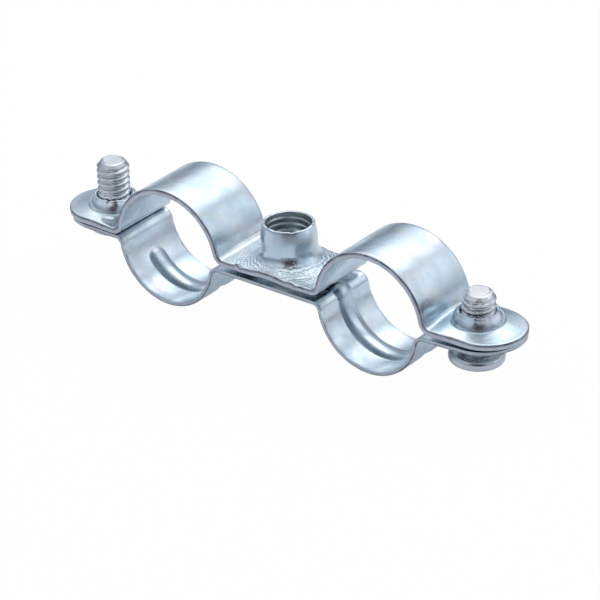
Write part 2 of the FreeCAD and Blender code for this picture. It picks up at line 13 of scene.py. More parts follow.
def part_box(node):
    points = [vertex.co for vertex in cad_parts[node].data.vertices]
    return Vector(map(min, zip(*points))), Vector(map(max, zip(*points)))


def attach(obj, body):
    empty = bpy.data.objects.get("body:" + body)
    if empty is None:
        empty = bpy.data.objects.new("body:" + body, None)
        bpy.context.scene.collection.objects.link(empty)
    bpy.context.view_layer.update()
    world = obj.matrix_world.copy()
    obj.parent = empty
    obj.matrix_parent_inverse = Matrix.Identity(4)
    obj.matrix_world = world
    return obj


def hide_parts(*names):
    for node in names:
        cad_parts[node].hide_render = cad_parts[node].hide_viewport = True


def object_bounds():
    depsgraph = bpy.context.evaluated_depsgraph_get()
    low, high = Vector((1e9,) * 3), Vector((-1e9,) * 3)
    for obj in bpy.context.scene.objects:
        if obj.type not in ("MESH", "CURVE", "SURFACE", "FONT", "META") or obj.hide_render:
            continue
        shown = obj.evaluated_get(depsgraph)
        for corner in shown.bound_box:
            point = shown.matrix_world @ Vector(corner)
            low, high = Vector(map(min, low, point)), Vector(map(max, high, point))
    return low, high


bl_info = {
    "name": "Double pipe clamp",
    "version": (1, 0, 0),
    "blender": (4, 5, 0),
    "location": "3D View > Sidebar > Pipe clamp",
    "description": "Folded strips, drawn boss, collars and machine screws of a double pipe clamp",
    "category": "Object",
}

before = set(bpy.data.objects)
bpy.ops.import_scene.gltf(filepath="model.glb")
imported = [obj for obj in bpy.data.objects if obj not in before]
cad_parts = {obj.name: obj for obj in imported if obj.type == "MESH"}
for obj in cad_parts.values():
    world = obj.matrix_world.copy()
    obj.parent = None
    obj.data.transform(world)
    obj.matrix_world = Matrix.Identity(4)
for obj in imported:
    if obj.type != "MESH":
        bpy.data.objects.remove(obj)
CAD_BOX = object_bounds()

# The ears' seam is the strips' own zero height, and lies this far under the frame's origin, in millimetres.
SEAM = -1000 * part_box("upper_strip")[0][2]
HALF_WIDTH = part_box("upper_strip")[1][1]


class ClampStripSizes(bpy.types.PropertyGroup):
    """Sizes of the two folded strips"""
    width: bpy.props.FloatProperty(
        name="Strip width", description="Width of both strips", default=2 * HALF_WIDTH, unit="LENGTH")
    ring_spread: bpy.props.FloatProperty(
        name="Ring offset", description="Middle of a ring from the clamp's middle", default=0.0225,
        unit="LENGTH")
    screw_spread: bpy.props.FloatProperty(
        name="Screw offset", description="Screw axis from the clamp's middle", default=0.040663,
        unit="LENGTH")
    ear_hole: bpy.props.FloatProperty(
        name="Ear hole radius", description="Radius of the lower ears' holes", default=0.0035, unit="LENGTH")
    upper_ears: bpy.props.FloatVectorProperty(
        name="Upper ear roundings", description="Centre of the round end of the left and the right ear",
        size=2, default=(0.0423, 0.0426), unit="LENGTH")
    lower_ears: bpy.props.FloatVectorProperty(
        name="Lower ear roundings", description="Centre of the round end of the left and the right ear",
        size=2, default=(0.0411, 0.0429), unit="LENGTH")
    fold_radius: bpy.props.FloatProperty(
        name="Fold radius", description="Inside radius of every fold", default=0.0012, unit="LENGTH")
    upper_thickness: bpy.props.FloatProperty(
        name="Upper thickness", description="Sheet thickness of the upper strip", default=0.0011,
        unit="LENGTH")
    upper_ring: bpy.props.FloatProperty(
        name="Upper ring radius", description="Inside radius of the upper half rings", default=0.01075,
        unit="LENGTH")
    upper_ring_rise: bpy.props.FloatProperty(
        name="Upper ring height", description="Centre of the upper rings over the seam", default=0.0001,
        unit="LENGTH")
    plate_lift: bpy.props.FloatProperty(
        name="Plate lift", description="Underside of the middle plate over the seam", default=0.0005,
        unit="LENGTH")
    lower_thickness: bpy.props.FloatProperty(
        name="Lower thickness", description="Sheet thickness of the lower strip", default=0.00075,
        unit="LENGTH")
    lower_ring: bpy.props.FloatProperty(
        name="Lower ring radius", description="Inside radius of the lower half rings", default=0.0101,
        unit="LENGTH")
    lower_ring_rise: bpy.props.FloatProperty(
        name="Lower ring height", description="Centre of the lower rings from their ears, rings up",
        default=-0.00015, unit="LENGTH")
    bead_reach: bpy.props.FloatProperty(
        name="Bead half width", description="From the bead's middle to its foot", default=0.0024,
        unit="LENGTH")
    bead_height: bpy.props.FloatProperty(
        name="Bead height", description="How far the bead is pressed inward", default=0.0006, unit="LENGTH")
    bead_hollow: bpy.props.FloatProperty(
        name="Bead foot radius", description="Radius along the bead's foot", default=0.0013, unit="LENGTH")
    bead_stop: bpy.props.FloatProperty(
        name="Bead stop", description="Where the bead ends, turned up from the ear's side of the ring",
        default=math.radians(40), subtype="ANGLE")


class ClampBossSizes(bpy.types.PropertyGroup):
    """Sizes of the drawn boss and the plunged collars"""
    radius: bpy.props.FloatProperty(
        name="Boss radius", description="Outside radius of the boss", default=0.00507, unit="LENGTH")
    top: bpy.props.FloatProperty(
        name="Boss top", description="Rim of the boss over the seam", default=0.0092, unit="LENGTH")
    flare: bpy.props.FloatProperty(
        name="Boss flare", description="Radius from the plate into the wall", default=0.0035, unit="LENGTH")
    core: bpy.props.FloatProperty(
        name="Core radius", description="Inside radius at the thread's crests", default=0.0039, unit="LENGTH")
    mouth: bpy.props.FloatProperty(
        name="Mouth radius", description="Radius of the mouth at the rim", default=0.0042, unit="LENGTH")
    thread_depth: bpy.props.FloatProperty(
        name="Thread depth", description="Depth of the cut thread", default=0.0002, unit="LENGTH")
    thread_pitch: bpy.props.FloatProperty(
        name="Thread pitch", description="Rise of the thread in one turn", default=0.00125, unit="LENGTH")
    collar_foot: bpy.props.FloatProperty(
        name="Collar foot", description="Outside radius at the ear", default=0.00475, unit="LENGTH")
    collar_lip: bpy.props.FloatProperty(
        name="Collar lip", description="Outside radius at the top", default=0.00375, unit="LENGTH")
    collar_top: bpy.props.FloatProperty(
        name="Collar top", description="Lip of the collar over the seam", default=0.0041, unit="LENGTH")
    collar_bore: bpy.props.FloatProperty(
        name="Collar bore", description="Inside radius of the collar", default=0.0031, unit="LENGTH")
    collar_flare: bpy.props.FloatProperty(
        name="Collar flare", description="Drawn radius under the collar", default=0.0009, unit="LENGTH")


class ClampScrewSizes(bpy.types.PropertyGroup):
    """Sizes of the machine screws"""
    length: bpy.props.FloatProperty(
        name="Screw length", description="Under the head to the tip", default=0.0115, unit="LENGTH")
    shank: bpy.props.FloatProperty(
        name="Shank radius", description="Radius at the thread's crests", default=0.003, unit="LENGTH")
    thread_depth: bpy.props.FloatProperty(
        name="Thread depth", description="Depth of the rolled thread", default=0.00048, unit="LENGTH")
    thread_pitch: bpy.props.FloatProperty(
        name="Thread pitch", description="Rise of the thread in one turn", default=0.0012, unit="LENGTH")
    tip: bpy.props.FloatProperty(
        name="Tip radius", description="Radius of the tip", default=0.0023, unit="LENGTH")
    head: bpy.props.FloatProperty(
        name="Head radius", description="Radius of the head", default=0.00495, unit="LENGTH")
    head_side: bpy.props.FloatProperty(
        name="Head side", description="Height of the head's side", default=0.0019, unit="LENGTH")
    head_dome: bpy.props.FloatProperty(
        name="Head dome", description="Rise of the head's crown", default=0.0008, unit="LENGTH")
    recess_span: bpy.props.FloatProperty(
        name="Recess span", description="Cross recess from tip to tip", default=0.0048, unit="LENGTH")
    recess_arm: bpy.props.FloatProperty(
        name="Recess arm", description="Width of an arm of the recess", default=0.0011, unit="LENGTH")
    recess_depth: bpy.props.FloatProperty(
        name="Recess depth", description="Depth of the cross recess", default=0.0016, unit="LENGTH")


class ClampFinish(bpy.types.PropertyGroup):
    """Colours of the plated steel"""
    zinc: bpy.props.StringProperty(
        name="Zinc", description="Hex colour of the bright zinc plating", default="#D1DADF")
    zinc_shade: bpy.props.StringProperty(
        name="Zinc, blue tone", description="Hex colour of the blue passivated patches", default="#B2C5D1")
    edge: bpy.props.StringProperty(
        name="Sheared edge", description="Hex colour of the plated sheared edges", default="#BFC5CE")
    edge_warm: bpy.props.StringProperty(
        name="Sheared edge, warm tone", description="Hex colour of the torn band", default="#BEBAC0")
    screw: bpy.props.StringProperty(
        name="Screw zinc", description="Hex colour of the barrel-plated screws", default="#CFD1D4")
    screw_shade: bpy.props.StringProperty(
        name="Screw zinc, grey tone", description="Hex colour of the duller patches", default="#AEB2B8")
    # The bore's colours are darker than the zinc as painted shade inside the threaded bores, on top of their
    # duller plating.
    bore: bpy.props.StringProperty(
        name="Bore", description="Hex colour of the thin plating in the threaded bores", default="#C2CDD0")
    bore_shade: bpy.props.StringProperty(
        name="Bore, dark tone", description="Hex colour of its darker patches", default="#A3B1B6")


class ClampStage(bpy.types.PropertyGroup):
    """The stage round the clamp"""
    floor: bpy.props.StringProperty(
        name="Floor", description="Hex colour of the floor", default="#FFFFFF")
    key_power: bpy.props.FloatProperty(
        name="Lamps", description="Power of the soft lamps", default=1.0, unit="POWER")


def millimetres(group):
    """The group's lengths in millimetres, by name; angles stay as they are."""
    values = {}
    for key in group.__annotations__:
        prop = group.bl_rna.properties[key]
        value = getattr(group, key)
        if prop.is_array:
            values[key] = [1000 * part for part in value]
        else:
            values[key] = value * (1000 if prop.unit == "LENGTH" else 1)
    return values


def linear(hex_colour):
    """A colour written as sRGB hex, as the linear RGBA that a node takes."""
    channels = [int(hex_colour[i:i + 2], 16) / 255 for i in (1, 3, 5)]
    return [c / 12.92 if c <= 0.04045 else ((c + 0.055) / 1.055) ** 2.4 for c in channels] + [1.0]


def ramp(value, start, end, power=1.0):
    """Rises from 0 at the start to 1 at the end and stays there; a power over 1 makes it start slowly."""
    return min(1.0, max(0.0, (value - start) / (end - start))) ** power


def wander(where, size, seed=0.0):
    """Smooth unevenness between -1 and 1, with bumps of about this size in millimetres."""
    x, y = where
    return noise.noise(Vector((x / size, y / size, seed)))


class Centreline:
    """Middle of a folded strip in its x-z plane, walked out from the clamp's middle and mirrored."""

    def __init__(self, height):
        self.runs = []
        self.reach = 0.0
        self.end = (0.0, height, 0.0)

    def run(self, length, curvature=0.0):
        self.runs.append((self.reach, self.end, curvature))
        self.end = self.step(self.end, length, curvature)
        self.reach += length
        return self.reach

    @staticmethod
    def step(start, length, curvature):
        x, z, heading = start
        if not curvature:
            return x + length * math.cos(heading), z + length * math.sin(heading), heading
        turned = heading + curvature * length
        return (x + (math.sin(turned) - math.sin(heading)) / curvature,
                z - (math.cos(turned) - math.cos(heading)) / curvature, turned)

    def spot(self, along, across, height):
        """Where a point of the flat blank comes to lie once the strip is folded."""
        reach = abs(along)
        begin, start, curvature = [r for r in self.runs if r[0] <= reach + 1e-9][-1]
        x, z, heading = self.step(start, reach - begin, curvature)
        x -= math.sin(heading) * height
        return math.copysign(x, along) if along else x, across, z + math.cos(heading) * height


class Strip:
    """A folded strip: its centreline, the places of its folds, and the heights of its two faces."""

    def __init__(self, sizes, ears, thickness, ring, rise, plate_floor, ear_floor):
        fold = sizes["fold_radius"]
        self.half = sizes["width"] / 2
        self.thickness = thickness
        middle = thickness / 2
        span = ring + thickness + fold
        inner_slope = math.asin((plate_floor + thickness + fold - rise) / span)
        outer_slope = math.asin((ear_floor + thickness + fold - rise) / span)
        bend = fold + middle
        line = Centreline(plate_floor + middle)
        self.plate_end = line.run(sizes["ring_spread"] - span * math.cos(inner_slope))
        self.ring_start = line.run(bend * (math.pi / 2 - inner_slope), 1 / bend)
        self.ring_radius = ring + middle
        turned = math.pi - inner_slope - outer_slope
        self.ring_end = line.run(self.ring_radius * turned, -1 / self.ring_radius)
        self.ear_start = line.run(bend * (math.pi / 2 - outer_slope), 1 / bend)
        ear_x = sizes["ring_spread"] + span * math.cos(outer_slope)
        self.ear_round = {side: self.ear_start + end - ear_x for side, end in zip((-1, 1), ears)}
        self.screw_place = sizes["screw_spread"]
        self.hole = self.ear_start + self.screw_place - ear_x
        line.run(max(self.ear_round.values()) + self.half - self.ear_start)
        self.outer_slope = outer_slope
        self.plate_middle = plate_floor + middle
        self.line = line

    def top(self, along, across):
        """Height of the top face over the sheet's middle; bottom gives that of the other face."""
        return self.thickness / 2

    def bottom(self, along, across):
        return -self.thickness / 2

    def burr(self, along, across):
        """Height of a burr left on the edge by the shear."""
        return 0.0

    def drawn(self, along, across):
        """How strongly the drawing punch has marked the face here, 0 to 1."""
        return 0.0

    def face(self, name, along, across):
        height = self.top(along, across) if name == "top" else self.bottom(along, across)
        return self.line.spot(along, across, height)


class Skin:
    """Faces gathered patch by patch in millimetres, then welded into one closed mesh."""

    def __init__(self):
        self.points = []
        self.flat = []
        self.faces = []
        self.marks = []

    def patch(self, rows, closed=False, mark=0, flat=None, marks=None):
        """Adds a grid of faces; marks gives each column's material, flat each point's place on the blank."""
        width = len(rows[0])
        first = len(self.points)
        for row in rows:
            self.points.extend(row)
        for row in flat or rows:
            self.flat.extend(row if flat else [(p[0], p[1], 0.0) for p in row])
        columns = width if closed else width - 1
        for r in range(len(rows) - 1):
            for c in range(columns):
                a = first + r * width + c
                b = first + r * width + (c + 1) % width
                self.faces.append((a, b, b + width, a + width))
                self.marks.append(marks[c] if marks else mark)

    def cap(self, ring):
        """Closes a ring with one face."""
        first = len(self.points)
        self.points.extend(ring)
        self.flat.extend((0.0, 0.0, 0.0) for _ in ring)
        self.faces.append(tuple(range(first, first + len(ring))))
        self.marks.append(0)

    def take(self, mesh, mark=0):
        """Adds a baked mesh that is in metres."""
        first = len(self.points)
        self.points.extend(tuple(1000 * v for v in vertex.co) for vertex in mesh.vertices)
        self.flat.extend((1000 * v.co.x, 1000 * v.co.y, 0.0) for v in mesh.vertices)
        for polygon in mesh.polygons:
            self.faces.append(tuple(first + i for i in polygon.vertices))
            self.marks.append(mark)

    def weld(self, name, place=lambda p: p, materials=()):
        """Makes one closed piece in metres, each point put where place says."""
        mesh = bpy.data.meshes.new(name)
        mesh.from_pydata([Vector(place(p)) / 1000 for p in self.points], [], self.faces)
        for material in materials:
            mesh.materials.append(material)
        mesh.polygons.foreach_set("material_index", self.marks)
        blank = mesh.attributes.new("blank", "FLOAT_VECTOR", "POINT")
        blank.data.foreach_set("vector", [value for spot in self.flat for value in spot])
        shell = bmesh.new()
        shell.from_mesh(mesh)
        bmesh.ops.remove_doubles(shell, verts=shell.verts, dist=2e-6)
        bmesh.ops.dissolve_degenerate(shell, edges=shell.edges, dist=1e-7)
        open_edges = [e for e in shell.edges if len(e.link_faces) != 2]
        if open_edges:
            where = [tuple(round(1000 * c, 3) for c in e.verts[0].co) for e in open_edges[:6]]
            raise RuntimeError(f"{name}: {len(open_edges)} edges don't join two faces, at {where}")
        bmesh.ops.recalc_face_normals(shell, faces=shell.faces)
        shell.to_mesh(mesh)
        shell.free()
        mesh.shade_smooth()
        mesh.set_sharp_from_angle(angle=math.radians(38))
        piece = bpy.data.objects.new(name, mesh)
        bpy.context.scene.collection.objects.link(piece)
        return piece


def evenly(start, end, count):
    return [start + (end - start) * i / count for i in range(count + 1)]


def circle_angles(count, start):
    return [start + 2 * math.pi * i / count for i in range(count)]


def wheel(centre, height, profile, angles, uneven=None):
    """Rows of points turned round an upright axis through the centre, for (radius, height) pairs."""
    rows = []
    for radius, z in profile:
        row = []
        for angle in angles:
            r, up = uneven(angle, radius, z) if uneven else (radius, z)
            row.append((centre + r * math.cos(angle), r * math.sin(angle), height + up))
        rows.append(row)
    return rows


# Sheared edge, from the top face round to the bottom face: distance in from the blank's outline, share of
# the way from the top face to the bottom face, height added in millimetres, and strength of the dark broken
# line coloured along the rounding where the rolled-over face turns down.
SHEARED = (
    (0.42, 0.0, 0.0, 0.0), (0.29, 0.0, -0.02, 0.0), (0.16, 0.0, -0.065, 0.1), (0.09, 0.0, -0.135, 0.8),
    (0.03, 0.0, -0.22, 1.0), (0.0, 0.0, -0.31, 0.7), (0.0, 0.4, -0.1, 0.1), (0.0, 0.65, 0.0, 0.0),
    (0.02, 1.0, 0.16, 0.0), (0.035, 1.0, 0.06, 0.3), (0.07, 1.0, 0.012, 0.1), (0.13, 1.0, 0.0, 0.0),
)
SHEARED_MARKS = (0, 0, 1, 1, 1, 1, 1, 1, 1, 0, 0)
RAGGED_ROWS, BURRED_ROWS, SUNK_ROWS = range(1, len(SHEARED) - 1), range(1, 8), range(3, 8)


class Blank:
    """The flat outline of a strip as patches, laid on the folded strip's two faces and sheared edge."""

    def __init__(self, strip, skin, across):
        self.strip = strip
        self.skin = skin
        self.across = across

    def inset(self, face):
        return SHEARED[0 if face == "top" else -1][0]

    def edge(self, stations):
        """The sheared edge along stations of (along, across, outward along, outward across)."""
        strip = self.strip
        rollover = min(1.0, strip.thickness)
        rows, flat = [], []
        for along, across, out_along, out_across in stations:
            where = (along, across)
            ragged = 0.03 + 0.03 * wander(where, 2.1, 4.0) + 0.02 * wander(where, 0.8, 9.0)
            sink = 0.05 * wander(where, 1.3, 2.0)
            row, row_flat = [], []
            for place, (inward, share, lift, line) in enumerate(SHEARED):
                depth = inward + (ragged if place in RAGGED_ROWS else 0.0)
                s = along - depth * out_along
                y = across - depth * out_across
                height = (1 - share) * strip.top(s, y) + share * strip.bottom(s, y) + lift * rollover
                if place in BURRED_ROWS:
                    height += strip.burr(s, y)
                if place in SUNK_ROWS:
                    height += sink
                row.append(strip.line.spot(s, y, height))
                row_flat.append((s, y, line))
            rows.append(row)
            flat.append(row_flat)
        self.skin.patch(rows, flat=flat, marks=SHEARED_MARKS)

    def run(self, stations):
        """A straight run of the strip between the stations along it, folds and rings included."""
        half = self.strip.half
        for face in ("top", "bottom"):
            reach = half - self.inset(face)
            flat = [[(s, part * reach, 0.0) for part in self.across] for s in stations]
            self.skin.patch([[self.strip.face(face, s, y) for s, y, _ in row] for row in flat], flat=flat)
        for side in (-1, 1):
            self.edge([(s, side * half, 0.0, side) for s in stations])

    def polar(self, face, centre, radius, outline, angles, count):
        """A patch from a circle out to the outline, with its rows closer together where the face is steep."""
        fine, flat_weight = 80, 0.6
        measure = self.strip.top if face == "top" else self.strip.bottom
        rows = [[] for _ in range(count + 1)]
        flat = [[] for _ in range(count + 1)]
        for (s, y), angle in zip(outline, angles):
            start = (centre + radius * math.cos(angle), radius * math.sin(angle))
            line = [(start[0] + (s - start[0]) * i / fine, start[1] + (y - start[1]) * i / fine)
                    for i in range(fine + 1)]
            heights = [measure(*p) for p in line]
            travelled = [0.0]
            for i in range(fine):
                plan = flat_weight * math.dist(line[i], line[i + 1])
                travelled.append(travelled[-1] + math.hypot(plan, heights[i + 1] - heights[i]))
            i = 0
            for step in range(count + 1):
                wanted = travelled[-1] * step / count
                while i < fine - 1 and travelled[i + 1] < wanted:
                    i += 1
                part = (wanted - travelled[i]) / max(1e-12, travelled[i + 1] - travelled[i])
                p = (line[i][0] + (line[i + 1][0] - line[i][0]) * part,
                     line[i][1] + (line[i + 1][1] - line[i][1]) * part)
                rows[step].append(self.strip.face(face, *p))
                flat[step].append((p[0], p[1], -self.strip.drawn(*p) if face == "top" else 0.0))
        self.skin.patch(rows, closed=True, flat=flat)

    def plate(self, circles, angles, count):
        """The middle plate round a feature: circles gives the feature's radius in each face."""
        half, end = self.strip.half, self.strip.plate_end
        edges = (len(angles) - 2 * (len(self.across) - 1)) // 2
        for face in ("top", "bottom"):
            reach = half - self.inset(face)
            outline = [(end, part * reach) for part in self.across[:-1]]
            outline += [(s, reach) for s in evenly(end, -end, edges)[:-1]]
            outline += [(-end, -part * reach) for part in self.across[:-1]]
            outline += [(s, -reach) for s in evenly(-end, end, edges)[:-1]]
            self.polar(face, 0.0, circles[face], outline, angles, count)
        for side in (-1, 1):
            self.edge([(s, side * half, 0.0, side) for s in evenly(-end, end, edges)])

    def ear(self, side, circles, sides, round_steps, count):
        """An ear round its hole; side is 1 for the right ear and -1 for the left. Returns the angles."""
        strip = self.strip
        half, begin, centre = strip.half, strip.ear_start, strip.ear_round[side]
        stations = [(s, -half, 0.0, -1.0) for s in evenly(begin, centre, sides)[:-1]]
        for turn in evenly(-math.pi / 2, math.pi / 2, round_steps):
            c, d = math.cos(turn), math.sin(turn)
            stations.append((centre + half * c, half * d, c, d))
        stations += [(s, half, 0.0, 1.0) for s in evenly(centre, begin, sides)[1:]]
        total = len(stations) - 1 + len(self.across) - 1
        closing = (len(self.across) - 1) * math.pi / total
        angles = [-math.pi + closing + 2 * math.pi * i / total for i in range(total)]
        if side < 0:
            angles = [math.pi - a for a in angles]
        for face in ("top", "bottom"):
            d = self.inset(face)
            outline = [(s - d * ns, y - d * ny) for s, y, ns, ny in stations]
            outline += [(begin, -part * (half - d)) for part in self.across[1:-1]]
            outline = [(side * s, y) for s, y in outline]
            self.polar(face, side * strip.hole, circles[face], outline, angles, count)
        self.edge([(side * s, y, side * ns, ny) for s, y, ns, ny in stations])
        return angles


MATH, NOISE, SPREAD, BLEND, BUMP = (
    "ShaderNodeMath", "ShaderNodeTexNoise", "ShaderNodeMapRange", "ShaderNodeMix", "ShaderNodeBump")
SEPARATE, VECTOR_MATH, COORDINATES = "ShaderNodeSeparateXYZ", "ShaderNodeVectorMath", "ShaderNodeTexCoord"
IN_COLOUR = {"data_type": "RGBA"}


def add_node(tree, kind, place, settings=None, *values, **named):
    """Adds a node to a tree, with its settings and what its inputs hold.

    The settings are a dictionary, or the operation's name. Values go to the open inputs in order, and named
    ones by name. Each is a constant, a node whose first open output is linked, or an output.
    """
    node = tree.nodes.new(kind)
    node.location = (220 * place[0], -180 * place[1])
    for key, value in ({"operation": settings} if isinstance(settings, str) else settings or {}).items():
        setattr(node, key, value)
    sockets = [socket for socket in node.inputs if socket.enabled]
    held = list(zip(sockets, values))
    for key, value in named.items():
        held.append((next(socket for socket in sockets if socket.name == key.replace("_", " ")), value))
    for socket, value in held:
        if isinstance(value, bpy.types.Node):
            value = next(output for output in value.outputs if output.enabled)
        if isinstance(value, bpy.types.NodeSocket):
            tree.links.new(value, socket)
        else:
            socket.default_value = value
    return node


def thread_tree():
    """Node group: the skin of a threaded length, its ends plain circles.

    The radius follows a rounded V that climbs one pitch a turn, fades out over the run-out at both ends,
    and is cut back by the cone at the far end.
    """
    tree = bpy.data.node_groups.new("Threaded length", "GeometryNodeTree")
    panel = tree.interface
    panel.new_socket("Geometry", in_out="OUTPUT", socket_type="NodeSocketGeometry")
    panel.new_socket("Geometry", in_out="INPUT", socket_type="NodeSocketGeometry")
    for name, kind, default in (
            ("Columns", "NodeSocketInt", 96), ("Rows", "NodeSocketInt", 100),
            ("Base", "NodeSocketFloat", 0.0), ("Length", "NodeSocketFloat", 0.01),
            ("Pitch", "NodeSocketFloat", 0.0012), ("Root radius", "NodeSocketFloat", 0.0026),
            ("Depth", "NodeSocketFloat", 0.0004), ("Run out", "NodeSocketFloat", 0.0006),
            ("Cone radius", "NodeSocketFloat", 0.0023), ("Cone slope", "NodeSocketFloat", 1.0),
            ("Material", "NodeSocketMaterial", None)):
        socket = panel.new_socket(name, in_out="INPUT", socket_type=kind)
        if default is not None:
            socket.default_value = default
    given = add_node(tree, "NodeGroupInput", (0, 0)).outputs

    # A flat grid, one unit each way, is rolled up: X becomes the turn and Y the height.
    columns = add_node(tree, MATH, (1, 0), "ADD", given["Columns"], 1.0)
    rows = add_node(tree, MATH, (1, 1), "ADD", given["Rows"], 1.0)
    grid = add_node(tree, "GeometryNodeMeshGrid", (2, 0), None, 1.0, 1.0, columns, rows)
    position = add_node(tree, "GeometryNodeInputPosition", (1, 3))
    split = add_node(tree, SEPARATE, (2, 3), None, position).outputs
    turn = add_node(tree, MATH, (3, 2), "ADD", split["X"], 0.5)
    angle = add_node(tree, MATH, (4, 2), "MULTIPLY", turn, 2 * math.pi)
    rise = add_node(tree, MATH, (3, 3), "MULTIPLY", split["Y"], given["Length"])
    half = add_node(tree, MATH, (3, 4), "MULTIPLY", given["Length"], 0.5)
    height = add_node(tree, MATH, (4, 3), "ADD", rise, half)

    # How far the point lies from the middle of the thread's valley, in turns.
    climbed = add_node(tree, MATH, (5, 3), "DIVIDE", height, given["Pitch"])
    phase = add_node(tree, MATH, (6, 3), "SUBTRACT", climbed, turn)
    part = add_node(tree, MATH, (7, 3), "FRACT", phase)
    centred = add_node(tree, MATH, (8, 3), "SUBTRACT", part, 0.5)
    valley = add_node(tree, MATH, (9, 3), "ABSOLUTE", centred)
    ridge = add_node(tree, SPREAD, (10, 3), {"interpolation_type": "SMOOTHSTEP"}, valley, 0.08, 0.42)

    left = add_node(tree, MATH, (5, 5), "SUBTRACT", given["Length"], height)
    nearest = add_node(tree, MATH, (6, 5), "MINIMUM", height, left)
    fade = add_node(tree, MATH, (7, 5), {"operation": "DIVIDE", "use_clamp": True}, nearest, given["Run out"])
    grown = add_node(tree, MATH, (11, 3), "MULTIPLY", ridge, given["Depth"])
    faded = add_node(tree, MATH, (12, 3), "MULTIPLY", grown, fade)
    radius = add_node(tree, MATH, (13, 3), "ADD", faded, given["Root radius"])
    widening = add_node(tree, MATH, (13, 5), "MULTIPLY", left, given["Cone slope"])
    limit = add_node(tree, MATH, (14, 5), "ADD", widening, given["Cone radius"])
    cut = add_node(tree, MATH, (15, 3), "MINIMUM", radius, limit)

    cosine = add_node(tree, MATH, (15, 1), "COSINE", angle)
    sine = add_node(tree, MATH, (15, 2), "SINE", angle)
    x = add_node(tree, MATH, (16, 1), "MULTIPLY", cosine, cut)
    y = add_node(tree, MATH, (16, 2), "MULTIPLY", sine, cut)
    z = add_node(tree, MATH, (16, 3), "ADD", height, given["Base"])
    rolled = add_node(tree, "ShaderNodeCombineXYZ", (17, 2), None, x, y, z)
    moved = add_node(tree, "GeometryNodeSetPosition", (18, 0), Geometry=grid, Position=rolled)
    merged = add_node(tree, "GeometryNodeMergeByDistance", (19, 0), Geometry=moved, Distance=1e-6)
    plain = add_node(tree, "GeometryNodeRealizeInstances", (20, 0), None, merged)
    finished = add_node(tree, "GeometryNodeSetMaterial", (21, 0), Geometry=plain, Material=given["Material"])
    add_node(tree, "NodeGroupOutput", (22, 0), None, finished)
    return tree


def baked_thread(material, **inputs):
    """Runs the thread tree once with these inputs, lengths in metres, and returns its plain mesh."""
    tree = bpy.data.node_groups.get("Threaded length") or thread_tree()
    holder = bpy.data.objects.new("thread_holder", bpy.data.meshes.new("thread_holder"))
    bpy.context.scene.collection.objects.link(holder)
    modifier = holder.modifiers.new("Thread", "NODES")
    modifier.node_group = tree
    sockets = {item.name: item.identifier for item in tree.interface.items_tree if item.in_out == "INPUT"}
    modifier[sockets["Material"]] = material
    for key, value in inputs.items():
        modifier[sockets[key.replace("_", " ")]] = value
    bpy.context.view_layer.update()
    evaluated = holder.evaluated_get(bpy.context.evaluated_depsgraph_get())
    mesh = bpy.data.meshes.new_from_object(evaluated)
    holder.modifiers.remove(modifier)
    bpy.data.objects.remove(holder)
    return mesh


